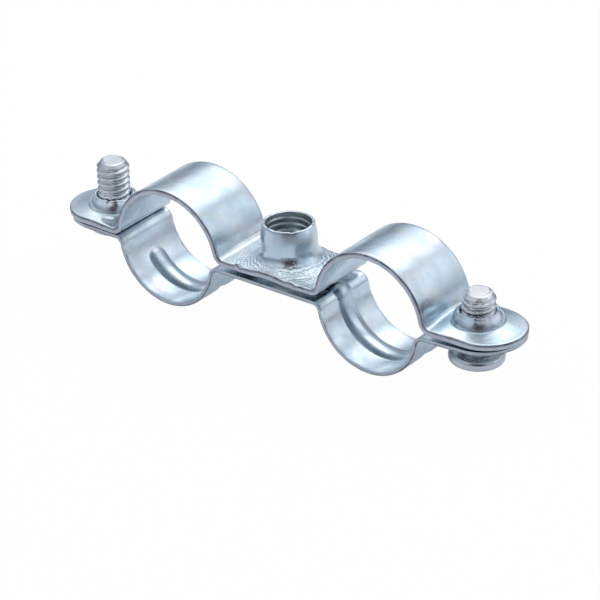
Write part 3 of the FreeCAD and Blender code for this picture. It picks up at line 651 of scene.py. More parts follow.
def plated_steel(name, zinc, tone, roughness, pink, straw, tint, pit_spacing, waves, lines, peel):
    """Bright electroplated zinc on cold-rolled steel, blue passivated.

    A metal with a soft, slightly milky gloss: large cool patches where the passivation is thicker, a trace of
    pink and straw interference colour, a fine orange peel from the bath, and rolling lines along the sheet.
    """
    material = bpy.data.materials.get(name)
    if material:
        return material
    material = bpy.data.materials.new(name)
    material.use_nodes = True
    tree = material.node_tree
    tree.nodes.clear()
    on_object = add_node(tree, COORDINATES, (-10, 0)).outputs["Object"]
    blank = add_node(tree, "ShaderNodeAttribute", (-10, 10), {"attribute_name": "blank"}).outputs["Vector"]
    per_mm = 1000.0

    # Clouds of noise by size in millimetres, detail, and where they start and are full: the passivation's
    # patches are 7 mm across, the interference tints drift over 3 to 5 mm, and the pits come in groups.
    clouds = []
    for row, (size, detail, low, high) in enumerate((
            (7.0, 3.0, 0.35, 0.65), (4.5, 3.0, 0.5, 0.7), (3.2, 3.0, 0.52, 0.72), (2.3, 3.0, 0.56, 0.62),
            (3.5, 2.0, 0.35, 0.65))):
        spots = add_node(tree, NOISE, (-8, -row), Vector=on_object, Scale=per_mm / size, Detail=detail)
        clouds.append(add_node(tree, SPREAD, (-7, -row), None, spots, low, high))
    cool, pinkish, strawy, grouped, gloss = clouds

    # Pits and inclusions of about 0.2 mm, a few to the square centimetre.
    cells = add_node(tree, "ShaderNodeTexVoronoi", (-8, 3), Vector=on_object, Scale=per_mm / pit_spacing)
    pit = add_node(tree, SPREAD, (-7, 3), None, cells, 0.1, 0.05, 0.0, 1.0)
    pitted = add_node(tree, MATH, (-6, 3), "MULTIPLY", pit, grouped)

    colour = linear(zinc)
    for step, (cover, most, over) in enumerate((
            (cool, 0.85, tone), (pinkish, tint, pink), (strawy, 0.8 * tint, straw),
            (pitted, 0.8, "#5E6468"))):
        weight = add_node(tree, MATH, (step - 5, 1), "MULTIPLY", cover, most)
        colour = add_node(tree, BLEND, (step - 4, 0), IN_COLOUR, weight, colour, linear(over))
    rough = add_node(tree, SPREAD, (-3, 6), None, gloss, 0.0, 1.0, *roughness)

    # Orange peel of 0.5 mm, hand-made waviness of 2.5 mm, and rolling lines 0.15 mm wide and 3 mm long.
    peeled = add_node(tree, NOISE, (-8, 8), Vector=on_object, Scale=per_mm / 0.5, Detail=3.0)
    waved = add_node(tree, NOISE, (-8, 9), Vector=on_object, Scale=per_mm / 2.5, Detail=2.0)
    along = add_node(tree, "ShaderNodeMapping", (-9, 10), Vector=blank, Scale=(0.33, 6.5, 1.0))
    lined = add_node(tree, NOISE, (-8, 10), Vector=along, Scale=1.0, Detail=3.0)

    # Stretch rings 0.62 mm apart and fine creases where the drawing punch has worked the sheet. How strongly
    # it has stands in the blank's negative Z.
    level = add_node(tree, "ShaderNodeMapping", (-9, 12), Vector=blank, Scale=(1.0, 1.0, 0.0))
    out = add_node(tree, VECTOR_MATH, (-8, 12), "LENGTH", level)
    sway = add_node(tree, NOISE, (-8, 13), Vector=level, Scale=0.45, Detail=2.0)
    swayed = add_node(tree, MATH, (-7, 13), "MULTIPLY", sway, 13.0)
    turned = add_node(tree, MATH, (-7, 12), "MULTIPLY_ADD", out, 2 * math.pi / 0.62, swayed)
    rings = add_node(tree, MATH, (-6, 12), "SINE", turned)
    creases = add_node(tree, NOISE, (-8, 14), Vector=level, Scale=1.7, Detail=3.0, Distortion=1.2)
    fading = add_node(tree, NOISE, (-8, 15), Vector=level, Scale=0.35, Detail=1.0)
    broken = add_node(tree, MATH, (-5, 12), "MULTIPLY", rings, fading)
    both = add_node(tree, MATH, (-4, 12), "MULTIPLY_ADD", creases, 2.4, broken)
    depth = add_node(tree, SEPARATE, (-8, 16), None, blank).outputs["Z"]
    marked = add_node(tree, MATH, (-7, 16), {"operation": "MULTIPLY", "use_clamp": True}, depth, -1.0)
    drawn = add_node(tree, MATH, (-3, 12), "MULTIPLY", both, marked)

    # Relief by pattern, strength, height in metres, and whether it is sunk.
    normal = None
    for step, (pattern, strength, height, sunk) in enumerate((
            (waved, waves, 0.0004, False), (lined, lines, 0.00004, False), (peeled, peel, 0.00006, False),
            (pitted, 0.6, 0.00008, True), (drawn, 1.0, 0.00007, False))):
        below = {"Normal": normal} if normal else {}
        normal = add_node(tree, BUMP, (step - 4, 9), {"invert": sunk}, Height=pattern, Strength=strength,
                          Distance=height, **below)
    shader = add_node(tree, "ShaderNodeBsdfPrincipled", (2, 0), Metallic=1.0, Base_Color=colour,
                      Roughness=rough, Normal=normal)
    add_node(tree, "ShaderNodeOutputMaterial", (4, 0), Surface=shader)
    return material


def sheet_finish(finish):
    """Bright zinc on the strip's faces."""
    return plated_steel("Bright zinc plate", finish.zinc, finish.zinc_shade, (0.2, 0.34), pink="#C9B9C6",
                        straw="#C9CBB4", tint=0.4, pit_spacing=1.5, waves=0.08, lines=0.05, peel=0.02)


def screw_finish(finish):
    """Barrel-plated zinc on the rolled screws, more neutral in colour."""
    return plated_steel("Barrel zinc screw", finish.screw, finish.screw_shade, (0.16, 0.32), pink="#B9A9AC",
                        straw="#BEBDAF", tint=0.35, pit_spacing=1.1, waves=0.06, lines=0.0, peel=0.03)


def bore_finish_with_painted_shade(finish):
    """The plating inside a threaded bore: rougher and duller where less zinc reaches, and darker in colour
    than the faces as painted shade of the recess.
    """
    return plated_steel("Dull plated bore", finish.bore, finish.bore_shade, (0.34, 0.5), pink="#A39F9A",
                        straw="#A9AB98", tint=0.4, pit_spacing=0.9, waves=0.1, lines=0.0, peel=0.2)


def edge_finish(finish):
    """Zinc over the sheared edge of the steel.

    The shear leaves a burnished band and a torn band, so the plating on it is duller and greyer than on the
    faces. A dark broken line is coloured along the rounding where the rolled-over face turns down; its
    strength stands in the blank's Z.
    """
    name = "Plated sheared edge"
    material = bpy.data.materials.get(name)
    if material:
        return material
    material = bpy.data.materials.new(name)
    material.use_nodes = True
    tree = material.node_tree
    tree.nodes.clear()
    blank = add_node(tree, "ShaderNodeAttribute", (-10, 0), {"attribute_name": "blank"}).outputs["Vector"]
    on_object = add_node(tree, COORDINATES, (-10, 2)).outputs["Object"]
    # Noise by size in millimetres and detail: the line's specks, their patches, the warm tone and torn metal.
    specks, patches, warm, torn = (
        add_node(tree, NOISE, (-8, 2 + row), Vector=on_object, Scale=1000 / size, Detail=detail)
        for row, (size, detail) in enumerate(((1.3, 5.0), (5.0, 2.0), (2.6, 3.0), (0.25, 3.0))))
    speckled = add_node(tree, SPREAD, (-7, 2), None, specks, 0.44, 0.6)
    patchy = add_node(tree, SPREAD, (-7, 3), None, patches, 0.42, 0.6, 0.3)
    warmed = add_node(tree, SPREAD, (-7, 4), None, warm, 0.4, 0.65)
    broken = add_node(tree, MATH, (-6, 2), "MULTIPLY", speckled, patchy)
    lined = add_node(tree, MATH, (-5, 2), "MULTIPLY_ADD", broken, 0.45, 0.55)
    strength = add_node(tree, SEPARATE, (-8, 0), None, blank).outputs["Z"]
    line = add_node(tree, MATH, (-5, 1), "MULTIPLY", lined, strength)
    body = add_node(tree, BLEND, (-5, 3), IN_COLOUR, warmed, linear(finish.edge), linear(finish.edge_warm))
    colour = add_node(tree, BLEND, (-4, 2), IN_COLOUR, line, body, linear("#3C3B40"))
    rough = add_node(tree, SPREAD, (-4, 4), None, specks, 0.0, 1.0, 0.32, 0.6)
    normal = add_node(tree, BUMP, (-3, 6), Height=torn, Strength=0.5, Distance=0.00006)
    shader = add_node(tree, "ShaderNodeBsdfPrincipled", (-2, 2), Metallic=1.0, Base_Color=colour,
                      Roughness=rough, Normal=normal)
    add_node(tree, "ShaderNodeOutputMaterial", (0, 2), Surface=shader)
    return material


def bulge(value, at, reach):
    """A smooth bump that is 1 at its middle."""
    return math.exp(-((value - at) / reach) ** 2)


class UpperStrip(Strip):
    """The strip with the boss and the collars."""

    # Dents of handling and of the tool: place along and across the blank, reach both ways, depth.
    DENTS = ((-48.1, -5.1, 1.1, 0.8, 0.14), (56.3, -3.3, 0.32, 0.22, 0.06), (57.5, -2.8, 0.25, 0.2, 0.05),
             (56.0, -4.3, 0.35, 0.2, 0.05))
    # Stretch rings round the boss: distance from its wall, and height.
    RINGS = ((1.6, 0.06), (2.2, 0.09), (2.8, -0.07), (3.4, 0.09), (3.95, -0.06), (4.5, 0.05))
    RING_REACH = 0.19
    # Tears of the plate's front edge: height, place along the plate, and reach.
    TEARS = ((0.45, -6.4, 0.35), (0.25, 5.6, 0.5), (-0.2, 6.5, 0.35), (-0.15, -5.6, 0.35))
    EDGE_BAND = 6.0
    DISH_RISE, DISH_REACH = 0.6, 3.2
    # What the drill's cone leaves of the drawn sheet at the boss's hollow underside.
    ENTRY_STEP = 0.3

    def __init__(self, sizes, boss):
        super().__init__(sizes, sizes["upper_ears"], sizes["upper_thickness"], sizes["upper_ring"],
                         sizes["upper_ring_rise"], sizes["plate_lift"], 0.0)
        self.boss = boss
        self.flare_centre = boss["radius"] + boss["flare"]
        self.flare_height = self.plate_middle + self.thickness / 2 + boss["flare"]

    def flared(self, along, across, radius):
        """Height over the plate's middle where the sheet turns up into the boss."""
        out = self.flare_centre - math.hypot(along, across)
        if out <= 0:
            return None
        rise = math.sqrt(max(0.0, radius ** 2 - min(out, radius) ** 2))
        return self.flare_height - rise - self.plate_middle

    def entry(self):
        """Radius and height where the drill's cone cuts the boss's hollow underside."""
        radius = self.boss["radius"] - self.thickness + self.ENTRY_STEP
        outer = self.boss["flare"] + self.thickness
        return radius, self.flare_height - math.sqrt(outer ** 2 - (self.flare_centre - radius) ** 2)

    def top(self, along, across):
        height = self.thickness / 2
        if abs(along) < self.plate_end:
            flared = self.flared(along, across, self.boss["flare"])
            if flared is not None:
                height = flared
            height += self.draw_rings(along, across)
        from_screw = math.hypot(abs(along) - self.hole, across)
        height += self.dish(from_screw)
        for along_at, across_at, reach_along, reach_across, depth in self.DENTS:
            off = ((along - along_at) / reach_along) ** 4 + ((across - across_at) / reach_across) ** 4
            if off < 8:
                height -= depth * math.exp(-off) * ramp(from_screw - self.boss["collar_foot"], 0.5, 0.9)
        return height

    def bottom(self, along, across):
        flared = None
        if abs(along) < self.plate_end:
            flared = self.flared(along, across, self.boss["flare"] + self.thickness)
        return -self.thickness / 2 if flared is None else flared

    def dish(self, radius):
        """The ear's upper face rises a little to the collar."""
        foot = self.boss["collar_foot"]
        return self.DISH_RISE * (1 - ramp(radius, foot, foot + self.DISH_REACH)) ** 1.3

    def draw_rings(self, along, across):
        """Stretch rings left round the boss by the drawing punch, fading out at the folds."""
        where = (along, across)
        out = math.hypot(along, across) - self.boss["radius"]
        drift = 0.5 * wander(where, 6.0, 1.0)
        rings = sum(height * bulge(out - drift, at, self.RING_REACH) for at, height in self.RINGS)
        creased = 0.08 * wander(where, 0.7, 6.0) * bulge(out, 1.6, 1.1)
        strength = 0.75 + 0.6 * wander(where, 2.2, 3.0)
        return (rings * strength + creased) * (1 - (abs(along) / self.plate_end) ** 6) * min(1.0, out / 0.6)

    def drawn(self, along, across):
        out = math.hypot(along, across) - self.boss["radius"]
        return ramp(out, 0.3, 1.2) * (1 - ramp(out, 3.6, 5.2)) * (abs(along) < self.plate_end)

    def burr(self, along, across):
        if abs(across) < self.EDGE_BAND or abs(along) > self.plate_end:
            return 0.0
        if across > 0:
            ragged = 0.35 * wander((along, across), 0.55, 5.0)
            return ragged * ramp(along, 2.0, 3.5) * (1 - ramp(along, 8.0, 9.0))
        return sum(height * bulge(along, at, reach) for height, at, reach in self.TEARS)


class LowerStrip(Strip):
    """The thinner strip, made with its rings up; its bead is pressed towards the rings' middles."""

    def __init__(self, sizes):
        super().__init__(sizes, sizes["lower_ears"], sizes["lower_thickness"], sizes["lower_ring"],
                         sizes["lower_ring_rise"], 0.0, 0.0)
        self.reach = sizes["bead_reach"]
        self.rise = sizes["bead_height"]
        total = (self.reach ** 2 + self.rise ** 2) / (2 * self.rise)
        self.slope = math.asin(self.reach / total)
        self.inner_hollow = sizes["bead_hollow"]
        self.inner_crest = total - self.inner_hollow
        turned = sizes["bead_stop"] - self.outer_slope
        self.bead_end = self.ring_end - self.ring_radius * turned

    def bead(self, along, across, crest, hollow):
        """Height of the bead, for the radii of its crest and of its foot in one face of the sheet."""
        past = max(0.0, abs(along) - self.bead_end)
        off = math.hypot(past, across)
        if off >= self.reach:
            return 0.0
        if off < crest * math.sin(self.slope):
            return self.rise - crest + math.sqrt(crest ** 2 - off ** 2)
        return hollow - math.sqrt(hollow ** 2 - (self.reach - off) ** 2)

    def top(self, along, across):
        return self.thickness / 2 - self.bead(along, across, self.inner_crest - self.thickness,
                                              self.inner_hollow + self.thickness)

    def bottom(self, along, across):
        return -self.thickness / 2 - self.bead(along, across, self.inner_crest, self.inner_hollow)


def fold_stations(strip, fold_steps, ring_steps):
    """Stations along one half of a strip, from the plate over the ring to the ear."""
    stations = evenly(strip.plate_end, strip.ring_start, fold_steps)[:-1]
    stations += evenly(strip.ring_start, strip.ring_end, ring_steps)[:-1]
    stations += evenly(strip.ring_end, strip.ear_start, fold_steps)
    return stations


def arc(centre, radius, start, end, count):
    """(radius, height) pairs along an arc of a turned profile, angles in degrees."""
    return [(centre[0] + radius * math.cos(math.radians(a)), centre[1] + radius * math.sin(math.radians(a)))
            for a in evenly(start, end, count)]


# The boss wall's slight draw inward towards its rim: distance in from the wall, and under the rim.
BOSS_TAPER = ((0.02, 2.3), (0.06, 1.9), (0.115, 1.5), (0.175, 1.1), (0.24, 0.72), (0.3, 0.42), (0.36, 0.2),
              (0.42, 0.07), (0.49, 0.01))
# Material slot of the bore's finish, whose darker colours are painted shade inside the boss.
BORE_MARK = 2


def boss_walls(skin, strip, columns, bore):
    """The boss's wall, rim, thread and cone, between the two circles that the plate leaves open."""
    boss = strip.boss
    wall, top, core, mouth = boss["radius"], boss["top"], boss["core"], boss["mouth"]
    groove = core + boss["thread_depth"]
    entry_radius, entry_height = strip.entry()
    rim = wall - BOSS_TAPER[-1][0]
    outside = [(wall, z) for z in evenly(strip.flare_height, top - 2.5, 5)]
    outside += [(wall - inward, top - under) for inward, under in BOSS_TAPER]
    outside += [((rim + mouth) / 2, top + 0.01), (mouth + 0.04, top - 0.03)]
    lead_in = [(mouth, top - 0.1), (mouth - 0.03, top - 0.3), (groove + 0.06, top - 0.5)]
    throat = (groove, top - 0.75)

    def rough_rim(angle, r, z):
        """The wall is drawn unevenly, and the rim dips, is worn at the front and has one nick."""
        share = max(0.0, (z - strip.flare_height) / (top - strip.flare_height))
        front = max(0.0, math.cos(angle + 0.9))
        nick = -0.2 * bulge(math.sin((angle + 0.78) / 2), 0.0, 0.035)
        x, y = math.cos(angle), math.sin(angle)
        uneven = 0.1 * math.cos(angle + 1.1) + 0.08 * wander((5 * x, 5 * y), 1.1, 3.0) + nick
        uneven += 0.08 * front * wander((9 * x, 9 * y), 0.5, 7.0)
        draw = 0.04 * wander((5 * x, 5 * y), 1.2, 8.0 + 0.2 * z)
        return r + draw * share, z + uneven * share ** 5

    rows = wheel(0.0, 0.0, outside, columns, rough_rim)
    rows[0] = wheel(0.0, 0.0, outside[:1], columns)[0]
    skin.patch(rows, closed=True)
    inner = wheel(0.0, 0.0, lead_in, columns, rough_rim) + wheel(0.0, 0.0, [throat], columns)
    skin.patch(rows[-1:] + inner, closed=True, mark=BORE_MARK)
    tube_floor = entry_height + entry_radius - groove
    thread = baked_thread(
        bore, Columns=len(columns), Rows=84, Base=tube_floor / 1000, Length=(throat[1] - tube_floor) / 1000,
        Pitch=boss["thread_pitch"] / 1000, Root_radius=groove / 1000, Depth=-boss["thread_depth"] / 1000,
        Run_out=0.0005, Cone_radius=1.0, Cone_slope=0.0)
    skin.take(thread, BORE_MARK)
    bpy.data.meshes.remove(thread)
    cone = [(groove, tube_floor), ((groove + entry_radius) / 2, (tube_floor + entry_height) / 2),
            (entry_radius, entry_height)]
    skin.patch(wheel(0.0, 0.0, cone, columns), closed=True)


# Fillet at a collar's foot, and how far it stands out from the collar.
COLLAR_FILLET, COLLAR_SPREAD = 0.24, 0.2
# A collar's torn lip with its groove: distance in from the lip's outside, and height over the lip's level.
TORN_LIP = ((0.05, -0.03), (0.14, 0.03), (0.24, -0.1), (0.34, -0.12), (0.44, 0.02))
# How far the left and the right collar stay under their full height.
COLLAR_SHORT = {-1: 0.3, 1: 0.4}


def collar(skin, blank, strip, side):
    """One ear, and the collar plunged up from it: 1 is the right one and -1 the left."""
    boss = strip.boss
    lip, bore, flare = boss["collar_lip"], boss["collar_bore"], boss["collar_flare"]
    top = boss["collar_top"] - COLLAR_SHORT[side]
    start = boss["collar_foot"] + COLLAR_SPREAD
    ear_top = strip.thickness + strip.dish(start)
    angles = blank.ear(side, {"top": start, "bottom": bore + flare}, 16, 40, 10)
    flank = [(start - COLLAR_FILLET * math.sin(math.radians(a)),
              ear_top + COLLAR_FILLET * (1 - math.cos(math.radians(a)))) for a in (0, 20, 40, 60)]
    foot, foot_top = flank[-1][0] - 0.03, flank[-1][1] + 0.06
    flank += [(foot + (lip - foot) * k + 0.7 * k * (1 - k), foot_top + (top - 0.15 - foot_top) * k)
              for k in evenly(0.0, 1.0, 9)]
    torn_lip = [(lip - inward, top + over) for inward, over in TORN_LIP]
    torn_lip += [(bore + 0.1, top - 0.02), (bore, top - 0.16)]
    inside = [(bore, z) for z in evenly(top - 0.6, flare, 4)]
    inside += arc((bore + flare, flare), flare, 180, 270, 6)[1:]

    def jagged(angle, r, z):
        """The top of the collar is torn and bent outward, and the left one has a curled tongue."""
        share = max(0.0, (z - top + 0.9) / 0.9)
        x, y = 4 * math.cos(angle), 4 * math.sin(angle)
        torn = 0.24 * wander((x, y), 1.1, 5.0 + side) + 0.2 * wander((x, y), 0.4, 2.0 + side)
        curl = 0.45 * bulge(math.sin((angle - 0.7) / 2), 0.0, 0.17) * (side < 0)
        out = 0.1 * wander((x, y), 0.7, 6.0 + z) + 0.35 * curl
        return r + out * share, z + (torn + curl) * share

    skin.patch(wheel(side * strip.screw_place, 0.0, flank + torn_lip + inside, angles, jagged), closed=True)


class CLAMP_OT_upper_strip(bpy.types.Operator):
    """Make the upper strip with its drawn boss and plunged collars"""
    bl_idname = "clamp.upper_strip"
    bl_label = "Upper strip"

    def execute(self, context):
        scene = context.scene
        boss = millimetres(scene.clamp_boss)
        finish = scene.clamp_finish
        # The bore's finish is darker as painted shade inside the boss.
        sheet, sheared, bore = sheet_finish(finish), edge_finish(finish), bore_finish_with_painted_shade(finish)
        strip = UpperStrip(millimetres(scene.clamp_strips), boss)
        skin = Skin()
        blank = Blank(strip, skin, [i / 12 for i in range(-12, 13)])
        stations = fold_stations(strip, 14, 64)
        blank.run(stations)
        blank.run([-s for s in stations])
        columns = circle_angles(96, -math.pi / 4)
        blank.plate({"top": boss["radius"], "bottom": strip.entry()[0]}, columns, 22)
        boss_walls(skin, strip, columns, bore)
        for side in (-1, 1):
            collar(skin, blank, strip, side)

        def proud(p):
            """The left ear stands a little proud of the seam towards its tip."""
            raised = 0.1 * ramp(-p[0], 36.0, 39.0) + 0.22 * ramp(-p[0], 40.0, 50.0)
            return p[0], p[1], p[2] - SEAM + raised

        piece = skin.weld("upper_strip_zinc", proud, (sheet, sheared, bore))
        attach(piece, "root")
        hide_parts("upper_strip")
        return {"FINISHED"}


# The lower strip's place under the frame's origin in millimetres, and how it hangs open to the right.
LOWER_PLACE, LOWER_HANG = (-0.5022, 0.0, -6.9066), math.radians(0.54)


class CLAMP_OT_lower_strip(bpy.types.Operator):
    """Make the lower strip with its pressed bead"""
    bl_idname = "clamp.lower_strip"
    bl_label = "Lower strip"

    def execute(self, context):
        scene = context.scene
        sizes = millimetres(scene.clamp_strips)
        finish = scene.clamp_finish
        sheet, sheared = sheet_finish(finish), edge_finish(finish)
        strip = LowerStrip(sizes)
        skin = Skin()
        # Closer stations over the bead, which reaches 2.4 mm to each side.
        over_bead = 2.6 / strip.half
        centre = evenly(-over_bead, over_bead, 28)
        flank = evenly(-1.0, centre[0], 7)[:-1]
        blank = Blank(strip, skin, flank + centre + [-f for f in reversed(flank)])
        stations = fold_stations(strip, 14, 90)
        blank.run(stations)
        blank.run([-s for s in stations])
        blank.run(evenly(-strip.plate_end, strip.plate_end, 48))
        hole, rounding, thickness = sizes["ear_hole"], 0.12, strip.thickness
        wall = [(hole + rounding, thickness), (hole + 0.03, thickness - 0.03), (hole, thickness - 0.14),
                (hole, 0.1), (hole + 0.03, 0.02), (hole + rounding, 0.0)]
        for side in (-1, 1):
            angles = blank.ear(side, {"top": hole + rounding, "bottom": hole + rounding}, 16, 44, 6)
            skin.patch(wheel(side * strip.screw_place, 0.0, wall, angles), closed=True, mark=1)
        turn = Matrix.Rotation(LOWER_HANG, 4, "Y") @ Matrix.Rotation(math.pi, 4, "X")
        place = Matrix.Translation(LOWER_PLACE) @ turn

        def sprung(p):
            """The right ear is drawn up towards its tip; the left one droops past the screw head."""
            laid = place @ Vector(p)
            laid.z += 0.84 * ramp(laid.x, 34.0, 50.5, 1.25) - 0.5 * ramp(-laid.x, 43.0, 49.0, 1.5)
            return laid

        piece = skin.weld("lower_strip_zinc", sprung, (sheet, sheared))
        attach(piece, "root")
        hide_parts("lower_strip")
        return {"FINISHED"}


# Each screw's node, its bearing face's place in millimetres, and its lean. The left one sits square on the
# lower strip, and the right one is backed off and leans in its collar.
SCREWS = (
    ("left_screw", (-40.663, 0.0, -7.2782), LOWER_HANG),
    ("right_screw", (40.3204, 0.0, -10.481), math.radians(3.0)),
)
# Roundings of the head's side, under the ear and at the crown, and where the thread starts over the head.
HEAD_EDGE, HEAD_FOOT, SHANK_START = 0.8, 0.6, 0.35
# Length of the tip's cone and of its bevel, and the slope of its cut end.
TIP_CONE, TIP_BEVEL, TIP_LEAN = 0.75, 0.24, 0.085
# The cut end's rolled rim: distance in from the tip's radius, and height over the screw's end.
TIP_RIM = ((0.42, -0.03), (0.47, 0.0), (0.53, -0.005), (0.6, -0.06), (0.68, -0.06))


def screw_piece(name, sizes, material, place):
    """One machine screw, made along its own upright axis from its bearing face and put in its place."""
    angles = circle_angles(72, 0.0)
    root = sizes["shank"] - sizes["thread_depth"]
    length, head, side, dome = sizes["length"], sizes["head"], sizes["head_side"], sizes["head_dome"]
    profile = [(root, SHANK_START), (root + 0.03, 0.14), (root + 0.15, 0.03), (root + 0.4, 0.0)]
    profile += [(r, 0.0) for r in evenly(root + 0.9, head - HEAD_EDGE, 3)]
    profile += arc((head - HEAD_EDGE, -HEAD_EDGE), HEAD_EDGE, 90, 0, 8)[1:]
    profile += arc((head - HEAD_FOOT, HEAD_FOOT - side), HEAD_FOOT, 0, -68, 9)
    rim_r, rim_z = profile[-1]
    crown = (rim_r ** 2 + dome ** 2) / (2 * dome)
    profile += [(r, rim_z + math.sqrt(crown ** 2 - rim_r ** 2) - math.sqrt(crown ** 2 - r ** 2))
                for r in evenly(rim_r, 0.0, 12)[1:]]
    skin = Skin()
    skin.patch(wheel(0.0, 0.0, profile, angles), closed=True)
    tip, tip_start = sizes["tip"], length - TIP_BEVEL
    thread = baked_thread(
        material, Columns=len(angles), Rows=110, Base=SHANK_START / 1000,
        Length=(tip_start - SHANK_START) / 1000, Pitch=sizes["thread_pitch"] / 1000,
        Root_radius=root / 1000, Depth=sizes["thread_depth"] / 1000, Run_out=0.0003,
        Cone_radius=tip / 1000, Cone_slope=(sizes["shank"] - tip) / TIP_CONE)
    skin.take(thread)
    bpy.data.meshes.remove(thread)
    end = [(tip, tip_start), (tip - 0.05, tip_start + 0.05), (tip - 0.12, tip_start + 0.08)]
    end += [(tip - inward, length + over) for inward, over in TIP_RIM]
    end += [(tip * 0.4, length - 0.06), (0.0, length - 0.06)]

    def sheared_off(angle, r, z):
        """The end is cut off at a slope of five degrees."""
        return r, z - TIP_LEAN * r * math.cos(angle) * ramp(z, tip_start, length - 0.04)

    skin.patch(wheel(0.0, 0.0, end, angles, sheared_off), closed=True)
    piece = skin.weld(name, materials=(material,))
    crossed(piece, sizes, profile[-1][1])
    piece.data.transform(place)
    return piece


def crossed(piece, sizes, crown):
    """Sinks the tapered cross recess into the head; crown is the lowest point of the head."""
    half, arm, depth = sizes["recess_span"] / 2, sizes["recess_arm"] / 2, sizes["recess_depth"]
    quarter = [(half, -arm), (half, arm), (arm, arm)]
    corners = []
    for _ in range(4):
        corners += quarter
        quarter = [(-y, x) for x, y in quarter]
    rings = [[(x * taper, y * taper, z) for x, y in corners]
             for taper, z in ((1.04, crown - 0.4), (1.0, crown), (0.72, crown + depth))]
    cutter = Skin()
    cutter.patch(rings, closed=True)
    for ring in (rings[0], rings[-1]):
        cutter.cap(ring)
    tool = cutter.weld("recess_tool")
    cut = piece.modifiers.new("Cross recess", "BOOLEAN")
    cut.operation = "DIFFERENCE"
    cut.solver = "EXACT"
    cut.object = tool
    bpy.context.view_layer.update()
    before = piece.data
    piece.data = bpy.data.meshes.new_from_object(piece.evaluated_get(bpy.context.evaluated_depsgraph_get()))
    piece.modifiers.remove(cut)
    piece.data.name = before.name
    bpy.data.meshes.remove(before)
    bpy.data.objects.remove(tool)
    piece.data.set_sharp_from_angle(angle=math.radians(27))


class CLAMP_OT_screws(bpy.types.Operator):
    """Make the two machine screws, the right one backed off"""
    bl_idname = "clamp.screws"
    bl_label = "Machine screws"

    def execute(self, context):
        scene = context.scene
        sizes = millimetres(scene.clamp_screws)
        material = screw_finish(scene.clamp_finish)
        for node, at, lean in SCREWS:
            place = Matrix.Translation(Vector(at) / 1000) @ Matrix.Rotation(lean, 4, "Y")
            piece = screw_piece(node + "_zinc", sizes, material, place)
            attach(piece, "root")
            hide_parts(node)
        return {"FINISHED"}


# The unlit side of the room, where the camera stands: the steel that faces it turns dark and a little red.
UNLIT = "#55454B"
# Where the camera stands, and its right, up and back axes as columns.
CAMERA_PLACE = (0.34703, -0.42955, 0.27572)
CAMERA_AXES = ((0.79048, -0.25881, 0.55511), (0.61147, 0.38574, -0.69088), (-0.03532, 0.88556, 0.46318))
# The soft lamps: name, place, size, and power in watts while the lamp setting is 1.
LAMPS = (
    ("window", (-0.14, 0.35, 0.36), (0.4, 0.25), 0.235),
    ("side window", (0.33, 0.3, 0.17), (0.42, 0.3), 0.2),
    ("ceiling", (-0.1, 0.22, 0.6), (0.8, 0.6), 1.05),
)
# Colours of the room by height, from the horizon up to the ceiling.
ROOM = ((0.0, "#868E97"), (0.16, "#9099A6"), (0.42, "#C5D3E2"), (0.6, "#ECF3FC"), (1.0, "#EFF5FC"))


def paper_floor(scene, colour):
    """A floor of white paper: it keeps the clamp's shadow, and is dimmer, with a patch of painted shade,
    where the steel mirrors it.
    """
    height = CAD_BOX[0][2] - 0.0002
    reach = 6.0
    mesh = bpy.data.meshes.new("floor")
    mesh.from_pydata([(-reach, -reach, height), (reach, -reach, height), (reach, reach, height),
                      (-reach, reach, height)], [], [(0, 1, 2, 3)])
    floor = bpy.data.objects.new("floor", mesh)
    scene.collection.objects.link(floor)
    material = bpy.data.materials.new("White paper floor")
    material.use_nodes = True
    tree = material.node_tree
    tree.nodes.clear()
    clamped_sum = {"operation": "ADD", "use_clamp": True}
    rays = add_node(tree, "ShaderNodeLightPath", (-4, 0)).outputs
    mirrored = add_node(tree, MATH, (-3, 1), clamped_sum, rays["Is Glossy Ray"], rays["Is Transmission Ray"])
    dimmed = add_node(tree, MATH, (-2, 1), "MULTIPLY", mirrored, 0.42)
    direct = add_node(tree, MATH, (-2, 0), "MULTIPLY", rays["Is Camera Ray"], 0.97)
    share = add_node(tree, MATH, (-1, 0), clamped_sum, direct, dimmed)

    # Painted shade: mirrored rays find a dark patch of the unlit colour on the floor towards the camera.
    on_object = add_node(tree, COORDINATES, (-4, 4)).outputs["Object"]
    away = add_node(tree, VECTOR_MATH, (-3, 4), "DISTANCE", on_object, (0.17, -0.21, height))
    lit = add_node(tree, SPREAD, (-2, 4), None, away, 0.15, 0.185)
    mirrored_with_painted_shade = add_node(tree, BLEND, (-1, 4), IN_COLOUR, lit, linear(UNLIT), linear("#EAF0F7"))
    pale = add_node(tree, BLEND, (0, 3), IN_COLOUR, rays["Is Camera Ray"], mirrored_with_painted_shade, linear("#FFFFFF"))
    paper = add_node(tree, BLEND, (1, 3), IN_COLOUR, mirrored, linear(colour), mirrored_with_painted_shade)
    shader = add_node(tree, "ShaderNodeBsdfPrincipled", (2, 2), Base_Color=paper, Roughness=0.9)
    glow = add_node(tree, "ShaderNodeEmission", (2, 1), Color=pale, Strength=1.0)
    surface = add_node(tree, "ShaderNodeMixShader", (4, 0), None, share, shader, glow)
    add_node(tree, "ShaderNodeOutputMaterial", (5, 0), Surface=surface)
    mesh.materials.append(material)
    return floor


